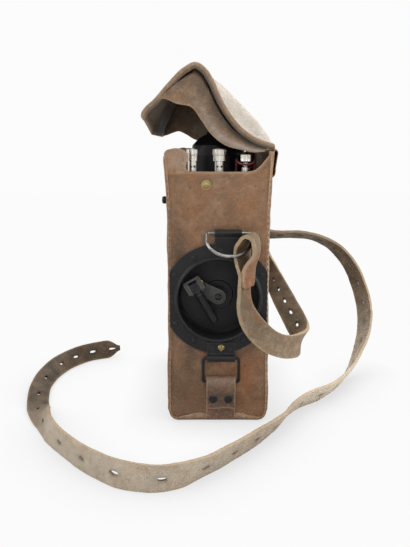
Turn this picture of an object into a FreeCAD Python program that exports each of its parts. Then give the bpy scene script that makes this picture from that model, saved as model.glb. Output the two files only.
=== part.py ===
# Field telephone in a leather case, set with a hand crank in one narrow end.
# Millimetres. X to the right, Y away from the crank end, Z up.
# The origin is the middle of the case's underside, on the ground.

import FreeCAD, Part
import math
import os

V = FreeCAD.Vector
os.makedirs("parts", exist_ok=True)

# Leather case
CASE_HALF_W = 45.5
MOUTH_HALF_W = 48.5
FLARE_FROM_Z = 195.0
CASE_HALF_L = 97.5
CASE_TOP = 249.0
LEATHER = 3.5
BOTTOM_R = 9.0
CORNER_R = 6.0
SIDE_WALL_TOP = 206.0
HINGE_WALL_TOP = 247.0
SEAM_X = 42.5
SEAM_Z = 8.0
INNER_HALF_L = CASE_HALF_L - LEATHER

# Lid
HINGE_X = 48.8
HINGE_Z = 249.2
HINGE_R = 1.7
LID_LEATHER = 3.0
LID_HALF_L = 92.8
GUSSET_T = 2.6
WELT_W = 5.4
WELT_PROUD = 1.6
SEAM_GAP = 0.25

# Crank well and crank
WELL_Z = 116.5
WELL_R = 36.0
WELL_METAL = 1.2
FLANGE_R = 50.0
FLANGE_HALF_W = 43.5
FLANGE_T = 2.0
WELL_FLOOR_Y = -77.5
FLANGE_FACE_Y = -CASE_HALF_L - FLANGE_T
SHAFT_R = 4.0
RUN_FIT = 0.06
CRANK_THROW = 24.5
CRANK_ANGLE = 152.5
HANDLE_ANGLE = -60.5
PIVOT_Y = -92.0
HANDLE_L = 39.5
HANDLE_R = 3.8
FORK_W = 16.0
FORK_SLOT = 8.4

# Generator
GEAR_MODULE = 1.0
WHEEL_TEETH = 60
PINION_TEETH = 12
ARMATURE_Z = WELL_Z - GEAR_MODULE * (WHEEL_TEETH + PINION_TEETH) / 2
CORE_R = 16.0

# Carry rings and the link under the crank
RING_X = 9.0
RING_Z = 176.5
RING_Y = -101.4
RING_WIRE_R = 1.5
RING_HALF_W = 20.0
RING_DEPTH = 26.0
RING_LEAN = 47.0
REAR_RING_LEAN = 30.0
BARREL_R = 3.2
LINK_X = 2.5
LINK_TOP_Z = 62.6
LINK_LOW_Z = 40.5
LINK_HALF_W = 16.2
LINK_WIRE_R = 1.3

# Terminals on the block behind the crank-end wall
BLOCK_TOP = 227.0
PANEL_Z = 203.0
PANEL_T = 4.0
PANEL_TOP = PANEL_Z + PANEL_T
POST_Y = -83.0
POST_X = (-23.0, 0.8)
POST_HEAD_R = (5.4, 6.1)
POST_TOP = 249.5
POST_SKIRT_Z = 238.3
SLEEVE_R = 4.15
THUMB_X = 24.0

# Handset and the bush for its lead
GLAND_X = 30.0
GLAND_Y = 20.0
CUP_Y = (-48.0, 61.0)
CUP_R = 26.0
GRIP_TOP = 266.5

# Strap
STRAP_W = 21.0
STRAP_T = 3.0


def box(x0, x1, y0, y1, z0, z1):
    return Part.makeBox(x1 - x0, y1 - y0, z1 - z0, V(x0, y0, z0))


def rod(radius, start, end):
    span = end - start
    return Part.makeCylinder(radius, span.Length, start, span)


def rod_y(radius, x, z, y0, y1):
    return rod(radius, V(x, y0, z), V(x, y1, z))


def rod_z(radius, x, y, z0, z1):
    return rod(radius, V(x, y, z0), V(x, y, z1))


def rod_x(radius, y, z, x0, x1):
    return rod(radius, V(x0, y, z), V(x1, y, z))


def spun(profile, x, y, z, axis="y"):
    """Turn a closed (radius, height) outline about an axis through x, y, z."""
    face = Part.Face(Part.makePolygon([V(r, 0, h) for r, h in profile + profile[:1]]))
    solid = face.revolve(V(0, 0, 0), V(0, 0, 1), 360)
    if axis == "y":
        solid.rotate(V(0, 0, 0), V(1, 0, 0), -90)
    solid.translate(V(x, y, z))
    return solid


def smooth(points):
    """One smooth edge through the points."""
    curve = Part.BSplineCurve()
    curve.interpolate(points)
    return curve.toShape()


def rounded_outline(half_w, low, high, radius):
    """Closed rectangle with four round corners, as (u, v) edges in XY."""
    left, right = -half_w, half_w
    k = radius * (1 - math.sqrt(0.5))
    edges = []
    corners = [
        (V(left, low + radius, 0), V(left + k, low + k, 0), V(left + radius, low, 0)),
        (V(right - radius, low, 0), V(right - k, low + k, 0), V(right, low + radius, 0)),
        (V(right, high - radius, 0), V(right - k, high - k, 0), V(right - radius, high, 0)),
        (V(left + radius, high, 0), V(left + k, high - k, 0), V(left, high - radius, 0)),
    ]
    for i, corner in enumerate(corners):
        edges.append(Part.Arc(*corner).toShape())
        edges.append(Part.LineSegment(corner[2], corners[(i + 1) % 4][0]).toShape())
    return Part.Wire(edges)


def plate_xz(points, y0, y1):
    """A plate whose outline is given in X and Z, between two Y planes."""
    wire = Part.makePolygon([V(x, y0, z) for x, z in points + points[:1]])
    return Part.Face(wire).extrude(V(0, y1 - y0, 0))


def wire_loop(edges, radius):
    """Round wire along lines and arcs that meet without a corner."""
    pieces = []
    for edge in edges:
        start = edge.valueAt(edge.FirstParameter)
        end = edge.valueAt(edge.LastParameter)
        if edge.Curve.TypeId == "Part::GeomCircle":
            circle = Part.makeCircle(radius, start, edge.tangentAt(edge.FirstParameter))
            disc = Part.Face(Part.Wire(circle))
            sweep = math.degrees(edge.LastParameter - edge.FirstParameter)
            pieces.append(disc.revolve(edge.Curve.Center, edge.Curve.Axis, sweep))
        else:
            pieces.append(rod(radius, start, end))
    return joined(pieces)


def save(name, shape):
    shape.exportStep("parts/" + name + ".step")


def joined(shapes):
    result = shapes[0]
    for shape in shapes[1:]:
        result = result.fuse(shape)
    return result.removeSplitter()


def group(shapes):
    return Part.makeCompound(shapes)


# The case

def case_block(inset):
    """Solid block of the case, drawn in by the leather's thickness when inset."""
    half = CASE_HALF_W - inset
    mouth = MOUTH_HALF_W - inset
    radius = BOTTOM_R - inset
    k = radius * (1 - math.sqrt(0.5))
    top = CASE_TOP + 12
    lean = (mouth - half) / (CASE_TOP - FLARE_FROM_Z) * (top - FLARE_FROM_Z)
    y = -120
    right = [
        Part.Arc(
            V(half - radius, y, inset),
            V(half - k, y, inset + k),
            V(half, y, inset + radius),
        ).toShape(),
        Part.LineSegment(V(half, y, inset + radius), V(half, y, FLARE_FROM_Z)).toShape(),
        Part.LineSegment(V(half, y, FLARE_FROM_Z), V(half + lean, y, top)).toShape(),
    ]
    left = [edge.mirror(V(0, 0, 0), V(1, 0, 0)) for edge in right]
    floor = Part.LineSegment(V(radius - half, y, inset), V(half - radius, y, inset)).toShape()
    lid_line = Part.LineSegment(V(-half - lean, y, top), V(half + lean, y, top)).toShape()
    wire = Part.Wire(Part.sortEdges([floor, lid_line] + right + left)[0])
    front = Part.Face(wire).extrude(V(0, 240, 0))
    plan = Part.Face(
        rounded_outline(mouth + 1, inset - CASE_HALF_L, CASE_HALF_L - inset, CORNER_R - inset)
    ).extrude(V(0, 0, top))
    foot = rounded_outline(CASE_HALF_L - inset, inset, top + 40, 4.5 - inset)
    foot.rotate(V(0, 0, 0), V(1, 1, 1), 120)
    foot.translate(V(-60, 0, 0))
    side = Part.Face(foot).extrude(V(120, 0, 0))
    return front.common(plan).common(side)


def end_mouth(y0, y1):
    """What is cut away above an end wall: a lug at the left, a rise to the hinge."""
    lug = [(-50.5, 243.0), (-45.5, 248.0), (-38.5, 249.2), (-30.5, 247.4), (-25.8, 241.8)]
    notch = [(-27.6, 236.5), (-28.6, 232.0), (-25.0, 229.2)]
    rise = [(25.0, 229.8), (32.0, 231.4), (39.5, 237.6), (45.5, 244.4), (50.5, 248.6)]
    upper = smooth([V(x, y0, z) for x, z in lug + notch])
    lower = Part.LineSegment(V(-25.0, y0, 229.2), V(25.0, y0, 229.8)).toShape()
    right = smooth([V(x, y0, z) for x, z in rise])
    roof = Part.makePolygon([V(50.5, y0, 248.6), V(60, y0, 270), V(-60, y0, 270), V(-50.5, y0, 243)])
    wire = Part.Wire([upper, lower, right] + roof.Edges)
    return Part.Face(wire).extrude(V(0, y1 - y0, 0))


def case_leather():
    """The strip of sides and bottom, and the two end walls stitched into it."""
    shell = case_block(0).cut(case_block(LEATHER))
    ear_y = LID_HALF_L + 0.4
    slope = [
        (-ear_y, 270), (-ear_y, SIDE_WALL_TOP + 8), (-ear_y + 7, SIDE_WALL_TOP),
        (ear_y - 7, SIDE_WALL_TOP), (ear_y, SIDE_WALL_TOP + 8), (ear_y, 270),
    ]
    side = Part.Face(Part.makePolygon([V(-60, y, z) for y, z in slope + slope[:1]]))
    shell = shell.cut(side.extrude(V(60, 0, 0)))
    shell = shell.cut(box(0, 60, -ear_y, ear_y, HINGE_WALL_TOP, 270))
    shell = shell.cut(end_mouth(-110, -ear_y))
    shell = shell.cut(end_mouth(ear_y, 110))
    near_zone = box(-SEAM_X, SEAM_X, -110, -INNER_HALF_L, SEAM_Z, 270)
    far_zone = box(-SEAM_X, SEAM_X, INNER_HALF_L, 110, SEAM_Z, 270)
    near_wall = shell.common(near_zone)
    near_wall = near_wall.cut(rod_y(WELL_R + WELL_METAL + 0.1, 0, WELL_Z, -110, -80))
    return shell.cut(near_zone).cut(far_zone), near_wall, shell.common(far_zone)


def hinge_strip():
    """Leather strip sewn outside the hinge wall, that the lid folds on."""
    foot, head = 224.0, HINGE_WALL_TOP
    slope = (MOUTH_HALF_W - CASE_HALF_W) / (CASE_TOP - FLARE_FROM_Z)
    low_x = CASE_HALF_W + slope * (foot - FLARE_FROM_Z)
    high_x = CASE_HALF_W + slope * (head - FLARE_FROM_Z)
    outline = [(low_x, foot), (low_x + 2.2, foot + 1.5), (high_x + 2.4, head), (high_x, head)]
    return plate_xz(outline, -91.0, 91.0)


def bottom_tab():
    """Leather tab from under the case, up the wall and round the link's bar."""
    half, thick = 13.2, 2.4
    wall_y = -CASE_HALF_L
    bar_y = RING_Y
    inner = LINK_WIRE_R + 1.2
    outer = inner + thick
    x0, x1 = LINK_X - half, LINK_X + half
    eye = rod_x(outer, bar_y, LINK_LOW_Z, x0, x1)
    back = box(x0, x1, wall_y - thick, wall_y, 4.5, LINK_LOW_Z)
    front = box(x0, x1, wall_y - 2 * thick, wall_y - thick, 15.0, LINK_LOW_Z - 8)
    neck = plate_yz(
        [(wall_y, 30.0), (bar_y + outer, LINK_LOW_Z), (bar_y - outer, LINK_LOW_Z),
         (wall_y - 2 * thick, 32.0), (wall_y - 2 * thick, 20.0), (wall_y, 20.0)], x0, x1)
    tab = joined([back, front, eye, neck])
    tab = tab.cut(rod_x(inner, bar_y, LINK_LOW_Z, x0 - 1, x1 + 1))
    return tab.cut(box(x0 - 1, x1 + 1, wall_y, wall_y + 10, 0, 80))


def plate_yz(points, x0, x1):
    wire = Part.makePolygon([V(x0, y, z) for y, z in points + points[:1]])
    return Part.Face(wire).extrude(V(x1 - x0, 0, 0))


def tab_rivets():
    rivets = []
    for x in (LINK_X - 7.2, LINK_X + 6.8):
        head = [(0, 0), (4.0, 0), (3.6, 0.8), (2.4, 1.3), (0, 1.5)]
        rivets.append(spun([(r, -h) for r, h in head], x, -CASE_HALF_L - 4.8, 24.0))
    return group(rivets)


# The lid

# Outer line of the lid at its dented crank end, and along the rest of its length.
NEAR_LINE = [
    (49.5, 250.8), (37.0, 254.5), (20.0, 264.5), (9.0, 277.0), (0.5, 291.0), (-6.5, 306.0),
    (-12.0, 314.5), (-20.0, 319.8), (-28.5, 316.0), (-42.0, 303.5), (-54.5, 289.5),
    (-64.0, 280.5), (-67.0, 274.0),
]
FULL_LINE = [
    (49.5, 250.8), (44.0, 262.0), (33.5, 276.0), (22.0, 287.5), (9.5, 299.5), (-3.0, 309.5),
    (-12.0, 315.0), (-21.0, 318.0), (-30.0, 314.0), (-43.0, 300.0), (-53.0, 284.0),
    (-60.0, 270.0), (-61.5, 261.5),
]
DENT_END_Y = -66.0
PRISM_END_Y = -86.6


def dent_share(y):
    """How much of the dented line a section has: all at the crank end, none inside."""
    t = min(1.0, max(0.0, (y - PRISM_END_Y) / (DENT_END_Y - PRISM_END_Y)))
    return 1 - t * t * (3 - 2 * t)


def lid_line(y, inset=0.0):
    """Points of the lid's line at y, moved inwards along the line's normal."""
    share = dent_share(y)
    points = [
        V(n[0] * share + f[0] * (1 - share), y, n[1] * share + f[1] * (1 - share))
        for n, f in zip(NEAR_LINE, FULL_LINE)
    ]
    moved = []
    for i, point in enumerate(points):
        along = points[min(i + 1, len(points) - 1)] - points[max(i - 1, 0)]
        along.normalize()
        moved.append(point + V(-along.z, 0, along.x) * inset)
    return moved


def band(y, low, high, first=0, last=13):
    """Closed section between two insets of the lid's line."""
    outer = lid_line(y, low)[first:last]
    inner = lid_line(y, high)[first:last]
    edges = [
        smooth(outer),
        Part.LineSegment(outer[-1], inner[-1]).toShape(),
        smooth(inner[::-1]),
        Part.LineSegment(inner[0], outer[0]).toShape(),
    ]
    return Part.Wire(edges)


def lid_panel():
    """Thick leather from the hinge over the top and down the front flap."""
    near = Part.Face(band(-LID_HALF_L, 0, LID_LEATHER)).extrude(V(0, LID_HALF_L + PRISM_END_Y, 0))
    dent_y = [PRISM_END_Y, -80.0, -73.0, DENT_END_Y]
    dent = Part.makeLoft([band(y, 0, LID_LEATHER) for y in dent_y], True, False)
    far = Part.Face(band(DENT_END_Y, 0, LID_LEATHER)).extrude(V(0, LID_HALF_L - DENT_END_Y, 0))
    roll = rod_y(HINGE_R, HINGE_X, HINGE_Z, -LID_HALF_L + 1, LID_HALF_L - 1)
    return joined([near, dent, far, roll])


def lid_gusset(y0, y1, line_y, lower, first, last):
    """Flat end piece of the lid, sewn in under the panel's edge."""
    inner = lid_line(line_y, LID_LEATHER + SEAM_GAP)[first:last]
    top = [V(p.x, y0, p.z) for p in inner]
    low = [V(x, y0, z) for x, z in lower]
    edges = [
        smooth(top),
        Part.LineSegment(top[-1], low[0]).toShape(),
        smooth(low),
        Part.LineSegment(low[-1], top[0]).toShape(),
    ]
    return Part.Face(Part.Wire(edges)).extrude(V(0, y1 - y0, 0))


def lid_gussets():
    near_low = [
        (-45.2, 293.0), (-36.5, 288.5), (-24.0, 284.6), (-15.0, 272.7),
        (-6.4, 261.0), (6.7, 251.4), (19.8, 248.2), (30.0, 245.4),
    ]
    far_low = [(-53.0, 270.0), (-43.0, 268.0), (-27.0, 261.0), (-5.0, 254.0), (20.0, 250.0), (33.0, 248.0)]
    edge = LID_HALF_L - 1
    near = lid_gusset(-edge, GUSSET_T - edge, -LID_HALF_L, near_low, 1, 10)
    far = lid_gusset(edge - GUSSET_T, edge, LID_HALF_L, far_low, 1, 12)
    return [near, far]


def lid_welts():
    """Rolled bead along the panel's two sewn edges."""
    welts = []
    for y0 in (-LID_HALF_L, LID_HALF_L - WELT_W):
        line_y = -LID_HALF_L if y0 < 0 else LID_HALF_L
        section = band(line_y, -WELT_PROUD, -SEAM_GAP, 1)
        section.translate(V(0, y0 - line_y, 0))
        welts.append(Part.Face(section).extrude(V(0, WELT_W, 0)))
    return welts


def snap_socket():
    """Round metal socket through the flap, that the stud on the case would fill."""
    outer = lid_line(0.0, 0.0)[9]
    inner = lid_line(0.0, LID_LEATHER)[9]
    out = outer - inner
    out.normalize()
    ring = rod(6.5, inner - out * 0.9, outer + out * 1.4)
    room = rod(6.5, inner - out * 0.95, outer + out * 1.45)
    return ring.cut(rod(3.9, inner - out * 3, outer + out * 4)), room


# Crank end metalwork

def crank_well():
    """Pressed pan with a rolled lip and a flange that is cut straight at its sides."""
    r = WELL_R
    t = WELL_METAL
    back = WELL_FLOOR_Y
    face = FLANGE_FACE_Y
    outline = [
        (SHAFT_R + RUN_FIT, back + t + 3.0), (SHAFT_R + RUN_FIT, back - 3.0), (8.0, back - 3.0),
        (8.8, back - 1.4), (13.0, back - 1.4), (14.0, back), (r - 2.0, back), (r, back - 2.0),
        (r, face - 1.6), (r + 0.8, face - 2.8), (r + 2.2, face - 2.8), (r + 3.4, face - 1.2),
        (r + 3.5, face), (FLANGE_R, face), (FLANGE_R, -CASE_HALF_L), (r + t, -CASE_HALF_L),
        (r + t, back - 1.4), (r - 1.4, back + t), (7.5, back + t), (7.5, back + t + 3.0),
    ]
    pan = spun(outline, 0, 0, WELL_Z)
    side = FLANGE_R + 5
    for sign in (-1, 1):
        low, high = sorted((sign * FLANGE_HALF_W, sign * side))
        pan = pan.cut(box(low, high, -110, -CASE_HALF_L, WELL_Z - side, WELL_Z + side))
    return pan


def flange_screws():
    screws = []
    for angle in (30, 60, 120, 150, 210, 240, 300, 330):
        a = math.radians(angle)
        reach = 43.5 if angle in (60, 120, 240, 300) else 44.5
        x, z = reach * math.cos(a), WELL_Z + reach * math.sin(a)
        head = [(0, 0), (2.3, 0), (1.7, 1.0), (0, 1.3)]
        screws.append(spun([(r, -h) for r, h in head], x, FLANGE_FACE_Y, z))
    return group(screws)


def ring_bracket(x, wall_y, face_y, away):
    """Plate with a rolled eye across its top, for the bar of a carry ring."""
    half = 11.8
    eye_y = wall_y + away * (abs(RING_Y) - CASE_HALF_L)
    y0, y1 = sorted((face_y, face_y + away * 1.6))
    plate = box(x - half, x + half, y0, y1, RING_Z - 20, RING_Z - 1)
    eye = rod_x(BARREL_R, eye_y, RING_Z, x - half, x + half)
    neck_y = sorted((face_y, eye_y))
    neck = box(x - half, x + half, neck_y[0], neck_y[1], RING_Z - 4.5, RING_Z - 1.5)
    bracket = joined([plate, eye, neck])
    return bracket.cut(rod_x(RING_WIRE_R + RUN_FIT, eye_y, RING_Z, x - half - 1, x + half + 1))


def carry_ring(away, lean, wire_r=RING_WIRE_R):
    """D-shaped ring of round wire: straight bar, short legs, half-round bow."""
    w, d = RING_HALF_W, RING_DEPTH
    leg = d - w
    path = [
        Part.LineSegment(V(-w + 2, 0, 0), V(w - 2, 0, 0)).toShape(),
        Part.Arc(V(w - 2, 0, 0), V(w - 0.586, 0, -0.586), V(w, 0, -2)).toShape(),
        Part.LineSegment(V(w, 0, -2), V(w, 0, -leg)).toShape(),
        Part.Arc(V(w, 0, -leg), V(0, 0, -d), V(-w, 0, -leg)).toShape(),
        Part.LineSegment(V(-w, 0, -leg), V(-w, 0, -2)).toShape(),
        Part.Arc(V(-w, 0, -2), V(-w + 0.586, 0, -0.586), V(-w + 2, 0, 0)).toShape(),
    ]
    ring = wire_loop(path, wire_r)
    ring.rotate(V(0, 0, 0), V(1, 0, 0), away * lean)
    ring.translate(V(RING_X, -away * RING_Y, RING_Z))
    return ring


def lower_bracket():
    half = 12.6
    plate = box(LINK_X - half, LINK_X + half, FLANGE_FACE_Y - 1.6, FLANGE_FACE_Y, 66.0, 77.0)
    eye = rod_x(BARREL_R, RING_Y, LINK_TOP_Z, LINK_X - half, LINK_X + half)
    neck = box(LINK_X - half, LINK_X + half, RING_Y, FLANGE_FACE_Y, 64.0, 67.0)
    bracket = joined([plate, eye, neck])
    bore = rod_x(LINK_WIRE_R + RUN_FIT, RING_Y, LINK_TOP_Z, LINK_X - half - 1, LINK_X + half + 1)
    return bracket.cut(bore)


def bracket_screw():
    """Slotted round-head screw at the middle of the lower bracket."""
    head = [(0, 0), (3.2, 0), (3.1, 0.8), (2.2, 1.8), (0, 2.2)]
    face_y = FLANGE_FACE_Y - 1.6
    screw = spun([(r, -h) for r, h in head], LINK_X, face_y, 72.2)
    return screw.cut(box(LINK_X - 0.45, LINK_X + 0.45, face_y - 3, face_y - 1.1, 68, 77))


def bracket_pins():
    pins = []
    for x in (LINK_X - 8.0, LINK_X + 8.0):
        pins.append(rod_y(1.5, x, 71.5, FLANGE_FACE_Y - 2.2, FLANGE_FACE_Y - 1.6))
    for x in (RING_X - 7.5, RING_X + 7.5):
        pins.append(rod_y(1.5, x, 161.5, FLANGE_FACE_Y - 2.2, FLANGE_FACE_Y - 1.6))
    return group(pins)


def bottom_link():
    """Rectangular wire link between the lower bracket and the leather tab."""
    w = LINK_HALF_W
    low = LINK_LOW_Z - LINK_TOP_Z
    k = 2 * (1 - math.sqrt(0.5))
    path = [
        Part.LineSegment(V(2 - w, 0, 0), V(w - 2, 0, 0)).toShape(),
        Part.Arc(V(w - 2, 0, 0), V(w - k, 0, -k), V(w, 0, -2)).toShape(),
        Part.LineSegment(V(w, 0, -2), V(w, 0, low + 2)).toShape(),
        Part.Arc(V(w, 0, low + 2), V(w - k, 0, low + k), V(w - 2, 0, low)).toShape(),
        Part.LineSegment(V(w - 2, 0, low), V(2 - w, 0, low)).toShape(),
        Part.Arc(V(2 - w, 0, low), V(k - w, 0, low + k), V(-w, 0, low + 2)).toShape(),
        Part.LineSegment(V(-w, 0, low + 2), V(-w, 0, -2)).toShape(),
        Part.Arc(V(-w, 0, -2), V(k - w, 0, -k), V(2 - w, 0, 0)).toShape(),
    ]
    link = wire_loop(path, LINK_WIRE_R)
    link.translate(V(LINK_X, RING_Y, LINK_TOP_Z))
    return link


def case_screw():
    washer = [(0, 0), (4.6, 0), (4.4, 0.8), (0, 0.8)]
    head = [(0, 0.8), (3.4, 0.8), (3.2, 1.4), (2.0, 2.0), (0, 2.2)]
    x, z, y = -11.0, 218.0, -CASE_HALF_L
    screw = joined([spun([(r, -h) for r, h in part], x, y, z) for part in (washer, head)])
    return screw.cut(box(x - 4, x + 4, y - 3, y - 1.5, z - 0.4, z + 0.4))


def closure_stud():
    """Black turned stud on the side wall, that the flap's socket closes on."""
    outline = [
        (0, 0), (5.0, 0), (5.0, 1.0), (2.4, 1.6), (2.4, 5.0),
        (3.8, 6.4), (3.9, 8.2), (3.0, 9.6), (0, 10.0),
    ]
    stud = spun(outline, 0, 0, 0, "z")
    stud.rotate(V(0, 0, 0), V(0, 1, 0), -90)
    stud.translate(V(-CASE_HALF_W - 0.15, 0, 197.6))
    return stud


# Crank

def crank_pivot():
    a = math.radians(CRANK_ANGLE)
    return V(CRANK_THROW * math.cos(a), PIVOT_Y, WELL_Z + CRANK_THROW * math.sin(a))


def crank_shaft():
    """Shaft through the well's bush, with a flat hub outside and a slotted end."""
    shaft = rod_y(SHAFT_R, 0, WELL_Z, -88.0, -58.2)
    collar = rod_y(6.4, 0, WELL_Z, -85.0, -81.2)
    return joined([shaft, collar])


def crank_arm():
    """Tear-drop plate from the hub to the fork."""
    far = crank_pivot()
    y0, y1 = -88.0, -85.0
    hub = rod_y(6.8, 0, WELL_Z, y0, y1)
    end = rod_y(5.6, far.x, far.z, y0, y1)
    a = math.radians(CRANK_ANGLE)
    across = V(-math.sin(a), 0, math.cos(a))
    hub_mid = V(0, y0, WELL_Z)
    end_mid = V(far.x, y0, far.z)
    corners = [
        hub_mid + across * 6.6, end_mid + across * 5.5,
        end_mid - across * 5.5, hub_mid - across * 6.6,
    ]
    web = Part.Face(Part.makePolygon(corners + corners[:1])).extrude(V(0, y1 - y0, 0))
    arm = joined([hub, end, web])
    return arm.cut(rod_y(SHAFT_R, 0, WELL_Z, y0 - 1, y1 + 1))


def hub_screw():
    head = [(0, 0), (3.4, 0), (3.3, 0.7), (2.0, 1.4), (0, 1.5)]
    screw = spun([(r, -h) for r, h in head], 0, -88.0, WELL_Z)
    return screw.cut(box(-4, 4, -91, -88.8, WELL_Z - 0.4, WELL_Z + 0.4))


def turned_to_fork(shape):
    """From a fork frame (u along the pin, z along the folded handle) to its place."""
    shape.rotate(V(0, 0, 0), V(0, 1, 0), -(HANDLE_ANGLE + 90))
    shape.translate(crank_pivot())
    return shape


def crank_fork():
    """Clevis on the arm's end: two cheeks and a bridge behind the handle's root."""
    half = FORK_W / 2
    slot = FORK_SLOT / 2
    body = joined([
        box(-half, half, -4.4, 4.0, -4.0, 6.6),
        rod_x(4.4, -0.4, -4.0, -half, half).common(box(-half, half, -6, 4, -9, -4)),
    ])
    body = body.common(rod(9.4, V(0, -6, 0), V(0, 6, 0)))
    gap = box(-slot, slot, -6, 6, -9, 4.8)
    fork = body.cut(gap)
    fork = fork.cut(rod_x(1.6, 0, 0, -half - 1, half + 1))
    return turned_to_fork(fork)


def crank_pin():
    half = FORK_W / 2
    pin = joined([rod_x(1.6, 0, 0, -half, half), rod_x(2.6, 0, 0, half, half + 0.8)])
    return turned_to_fork(pin)


def handle_root():
    """Metal root of the folding handle, bored for the pin."""
    eye = rod_x(4.0, 0, 0, -3.9, 3.9)
    shank = rod(3.4, V(0, 0, -1), V(0, 0, -9.5))
    neck = box(-3.4, 3.4, -3.4, 3.4, -6.5, 0)
    root = joined([eye, neck, shank])
    return turned_to_fork(root.cut(rod_x(1.6 + RUN_FIT, 0, 0, -6, 6)))


def handle_grip():
    outline = [
        (0, -9.5), (3.5, -9.5), (HANDLE_R, -10.5), (HANDLE_R, -36.0),
        (3.4, -HANDLE_L + 1.4), (2.4, -HANDLE_L), (0, -HANDLE_L),
    ]
    return turned_to_fork(spun(outline, 0, 0, 0, "z"))


def toothed(teeth, phase, y0, y1, steps):
    """Spur wheel about the Y axis, with involute flanks in a few steps and some backlash."""
    pitch = GEAR_MODULE * teeth / 2
    base = pitch * math.cos(math.radians(20))
    tip = pitch + 0.75 * GEAR_MODULE
    root = pitch - 1.05 * GEAR_MODULE
    thick = math.pi / (2 * teeth) - 0.16 / pitch
    inv = math.tan(math.radians(20)) - math.radians(20)
    points = []
    for i in range(teeth):
        mid = phase + 2 * math.pi * i / teeth
        flank = []
        for k in range(steps + 1):
            r = max(base, root + 0.2) + (tip - max(base, root + 0.2)) * k / steps
            turn = math.acos(min(1.0, base / r))
            half = thick + inv - (math.tan(turn) - turn)
            flank.append((r, half))
        foot = (root, flank[0][1] + 0.01)
        sides = [foot] + flank
        points += [(r, mid - half) for r, half in sides]
        points += [(r, mid + half) for r, half in sides[::-1]]
    ring = [V(r * math.cos(a), y0, r * math.sin(a)) for r, a in points]
    return Part.Face(Part.makePolygon(ring + ring[:1])).extrude(V(0, y1 - y0, 0))


def drive_gear():
    wheel = toothed(WHEEL_TEETH, 0.0, -70.0, -65.0, 1)
    wheel.translate(V(0, 0, WELL_Z))
    for i in range(5):
        a = 2 * math.pi * i / 5 + 0.3
        hole = rod_y(6.0, 17.5 * math.cos(a), WELL_Z + 17.5 * math.sin(a), -71, -64)
        wheel = wheel.cut(hole)
    wheel = wheel.fuse(rod_y(8.0, 0, WELL_Z, -72.0, -65.0))
    return wheel.cut(rod_y(SHAFT_R, 0, WELL_Z, -73, -64)).removeSplitter()


# Generator

def generator_plates():
    plates = []
    for y0, bore_top in ((-62.0, True), (-6.0, False)):
        plate = box(-31, 31, y0, y0 + 3, 52.0, 146.0 if bore_top else 104.0)
        plate = plate.cut(rod_y(3.0 + RUN_FIT, 0, ARMATURE_Z, y0 - 1, y0 + 4))
        if bore_top:
            plate = plate.cut(rod_y(SHAFT_R + RUN_FIT, 0, WELL_Z, y0 - 1, y0 + 4))
        plates.append(plate)
    return plates


def pole_pieces():
    poles = []
    for sign in (-1, 1):
        x0, x1 = sorted((sign * 6.0, sign * 18.0))
        pole = box(x0, x1, -59.0, -6.0, 62.0, 99.0)
        poles.append(pole.cut(rod_y(CORE_R + 0.6, 0, ARMATURE_Z, -60, -5)))
    return group(poles)


def magnets():
    """Three horseshoe magnets standing over the pole pieces."""
    shoes = []
    for y0 in (-57.0, -40.0, -23.0):
        arch = rod_y(28.0, 0, 112.0, y0, y0 + 14).common(box(-30, 30, y0, y0 + 14, 112, 142))
        legs = box(-28, 28, y0, y0 + 14, 62.0, 112.0)
        shoe = joined([arch, legs])
        shoe = shoe.cut(rod_y(18.0, 0, 112.0, y0 - 1, y0 + 15))
        shoes.append(shoe.cut(box(-18, 18, y0 - 1, y0 + 15, 50, 112)))
    return group(shoes)


def armature_core():
    """Shuttle core: a round bar with two deep slots, on its shaft."""
    core = rod_y(CORE_R, 0, ARMATURE_Z, -55.0, -10.0)
    for sign in (-1, 1):
        z0, z1 = sorted((ARMATURE_Z + sign * 4.0, ARMATURE_Z + sign * 20.0))
        core = core.cut(box(-8.5, 8.5, -56, -9, z0, z1))
    return joined([core, rod_y(3.0, 0, ARMATURE_Z, -72.0, -2.6)])


def armature_winding():
    coils = []
    for sign in (-1, 1):
        z0, z1 = sorted((ARMATURE_Z + sign * 4.0, ARMATURE_Z + sign * 12.5))
        coils.append(box(-8.5, 8.5, -55.0, -10.0, z0, z1))
    return group(coils)


def armature_pinion():
    pinion = toothed(PINION_TEETH, math.radians(15), -70.5, -64.5, 2)
    pinion.translate(V(0, 0, ARMATURE_Z))
    return pinion.cut(rod_y(3.0, 0, ARMATURE_Z, -71, -64))


# Chassis, ringer and batteries

def chassis():
    """Bent steel tray with two cross walls and a front wall, all under the panel."""
    t = 1.2
    floor = box(-40, 40, -74.0, 91.0, LEATHER, LEATHER + t)
    front = box(-40, 40, -75.2, -74.0, LEATHER, PANEL_Z)
    walls = [box(-40, 40, y, y + t, LEATHER, PANEL_Z) for y in (4.0, 50.0, 91.0)]
    tray = joined([floor, front] + walls)
    tray = tray.cut(rod_y(9.5, 0, WELL_Z, -77, -73))
    blocks = [box(-26, 26, -62.0, -59.0, 4.7, 52.0), box(-26, 26, -6.0, -3.0, 4.7, 52.0)]
    return joined([tray.common(case_block(LEATHER))] + blocks)


def ringer_coils():
    """Two wound bobbins on iron cores, standing on a yoke."""
    parts = []
    for x in (-14.0, 14.0):
        outline = [(3.0, 112), (10, 112), (10, 114), (8.6, 114), (8.6, 138), (10, 138), (10, 140), (3.0, 140)]
        parts.append(spun(outline, x, 27.0, 0, "z"))
    return group(parts)


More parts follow.
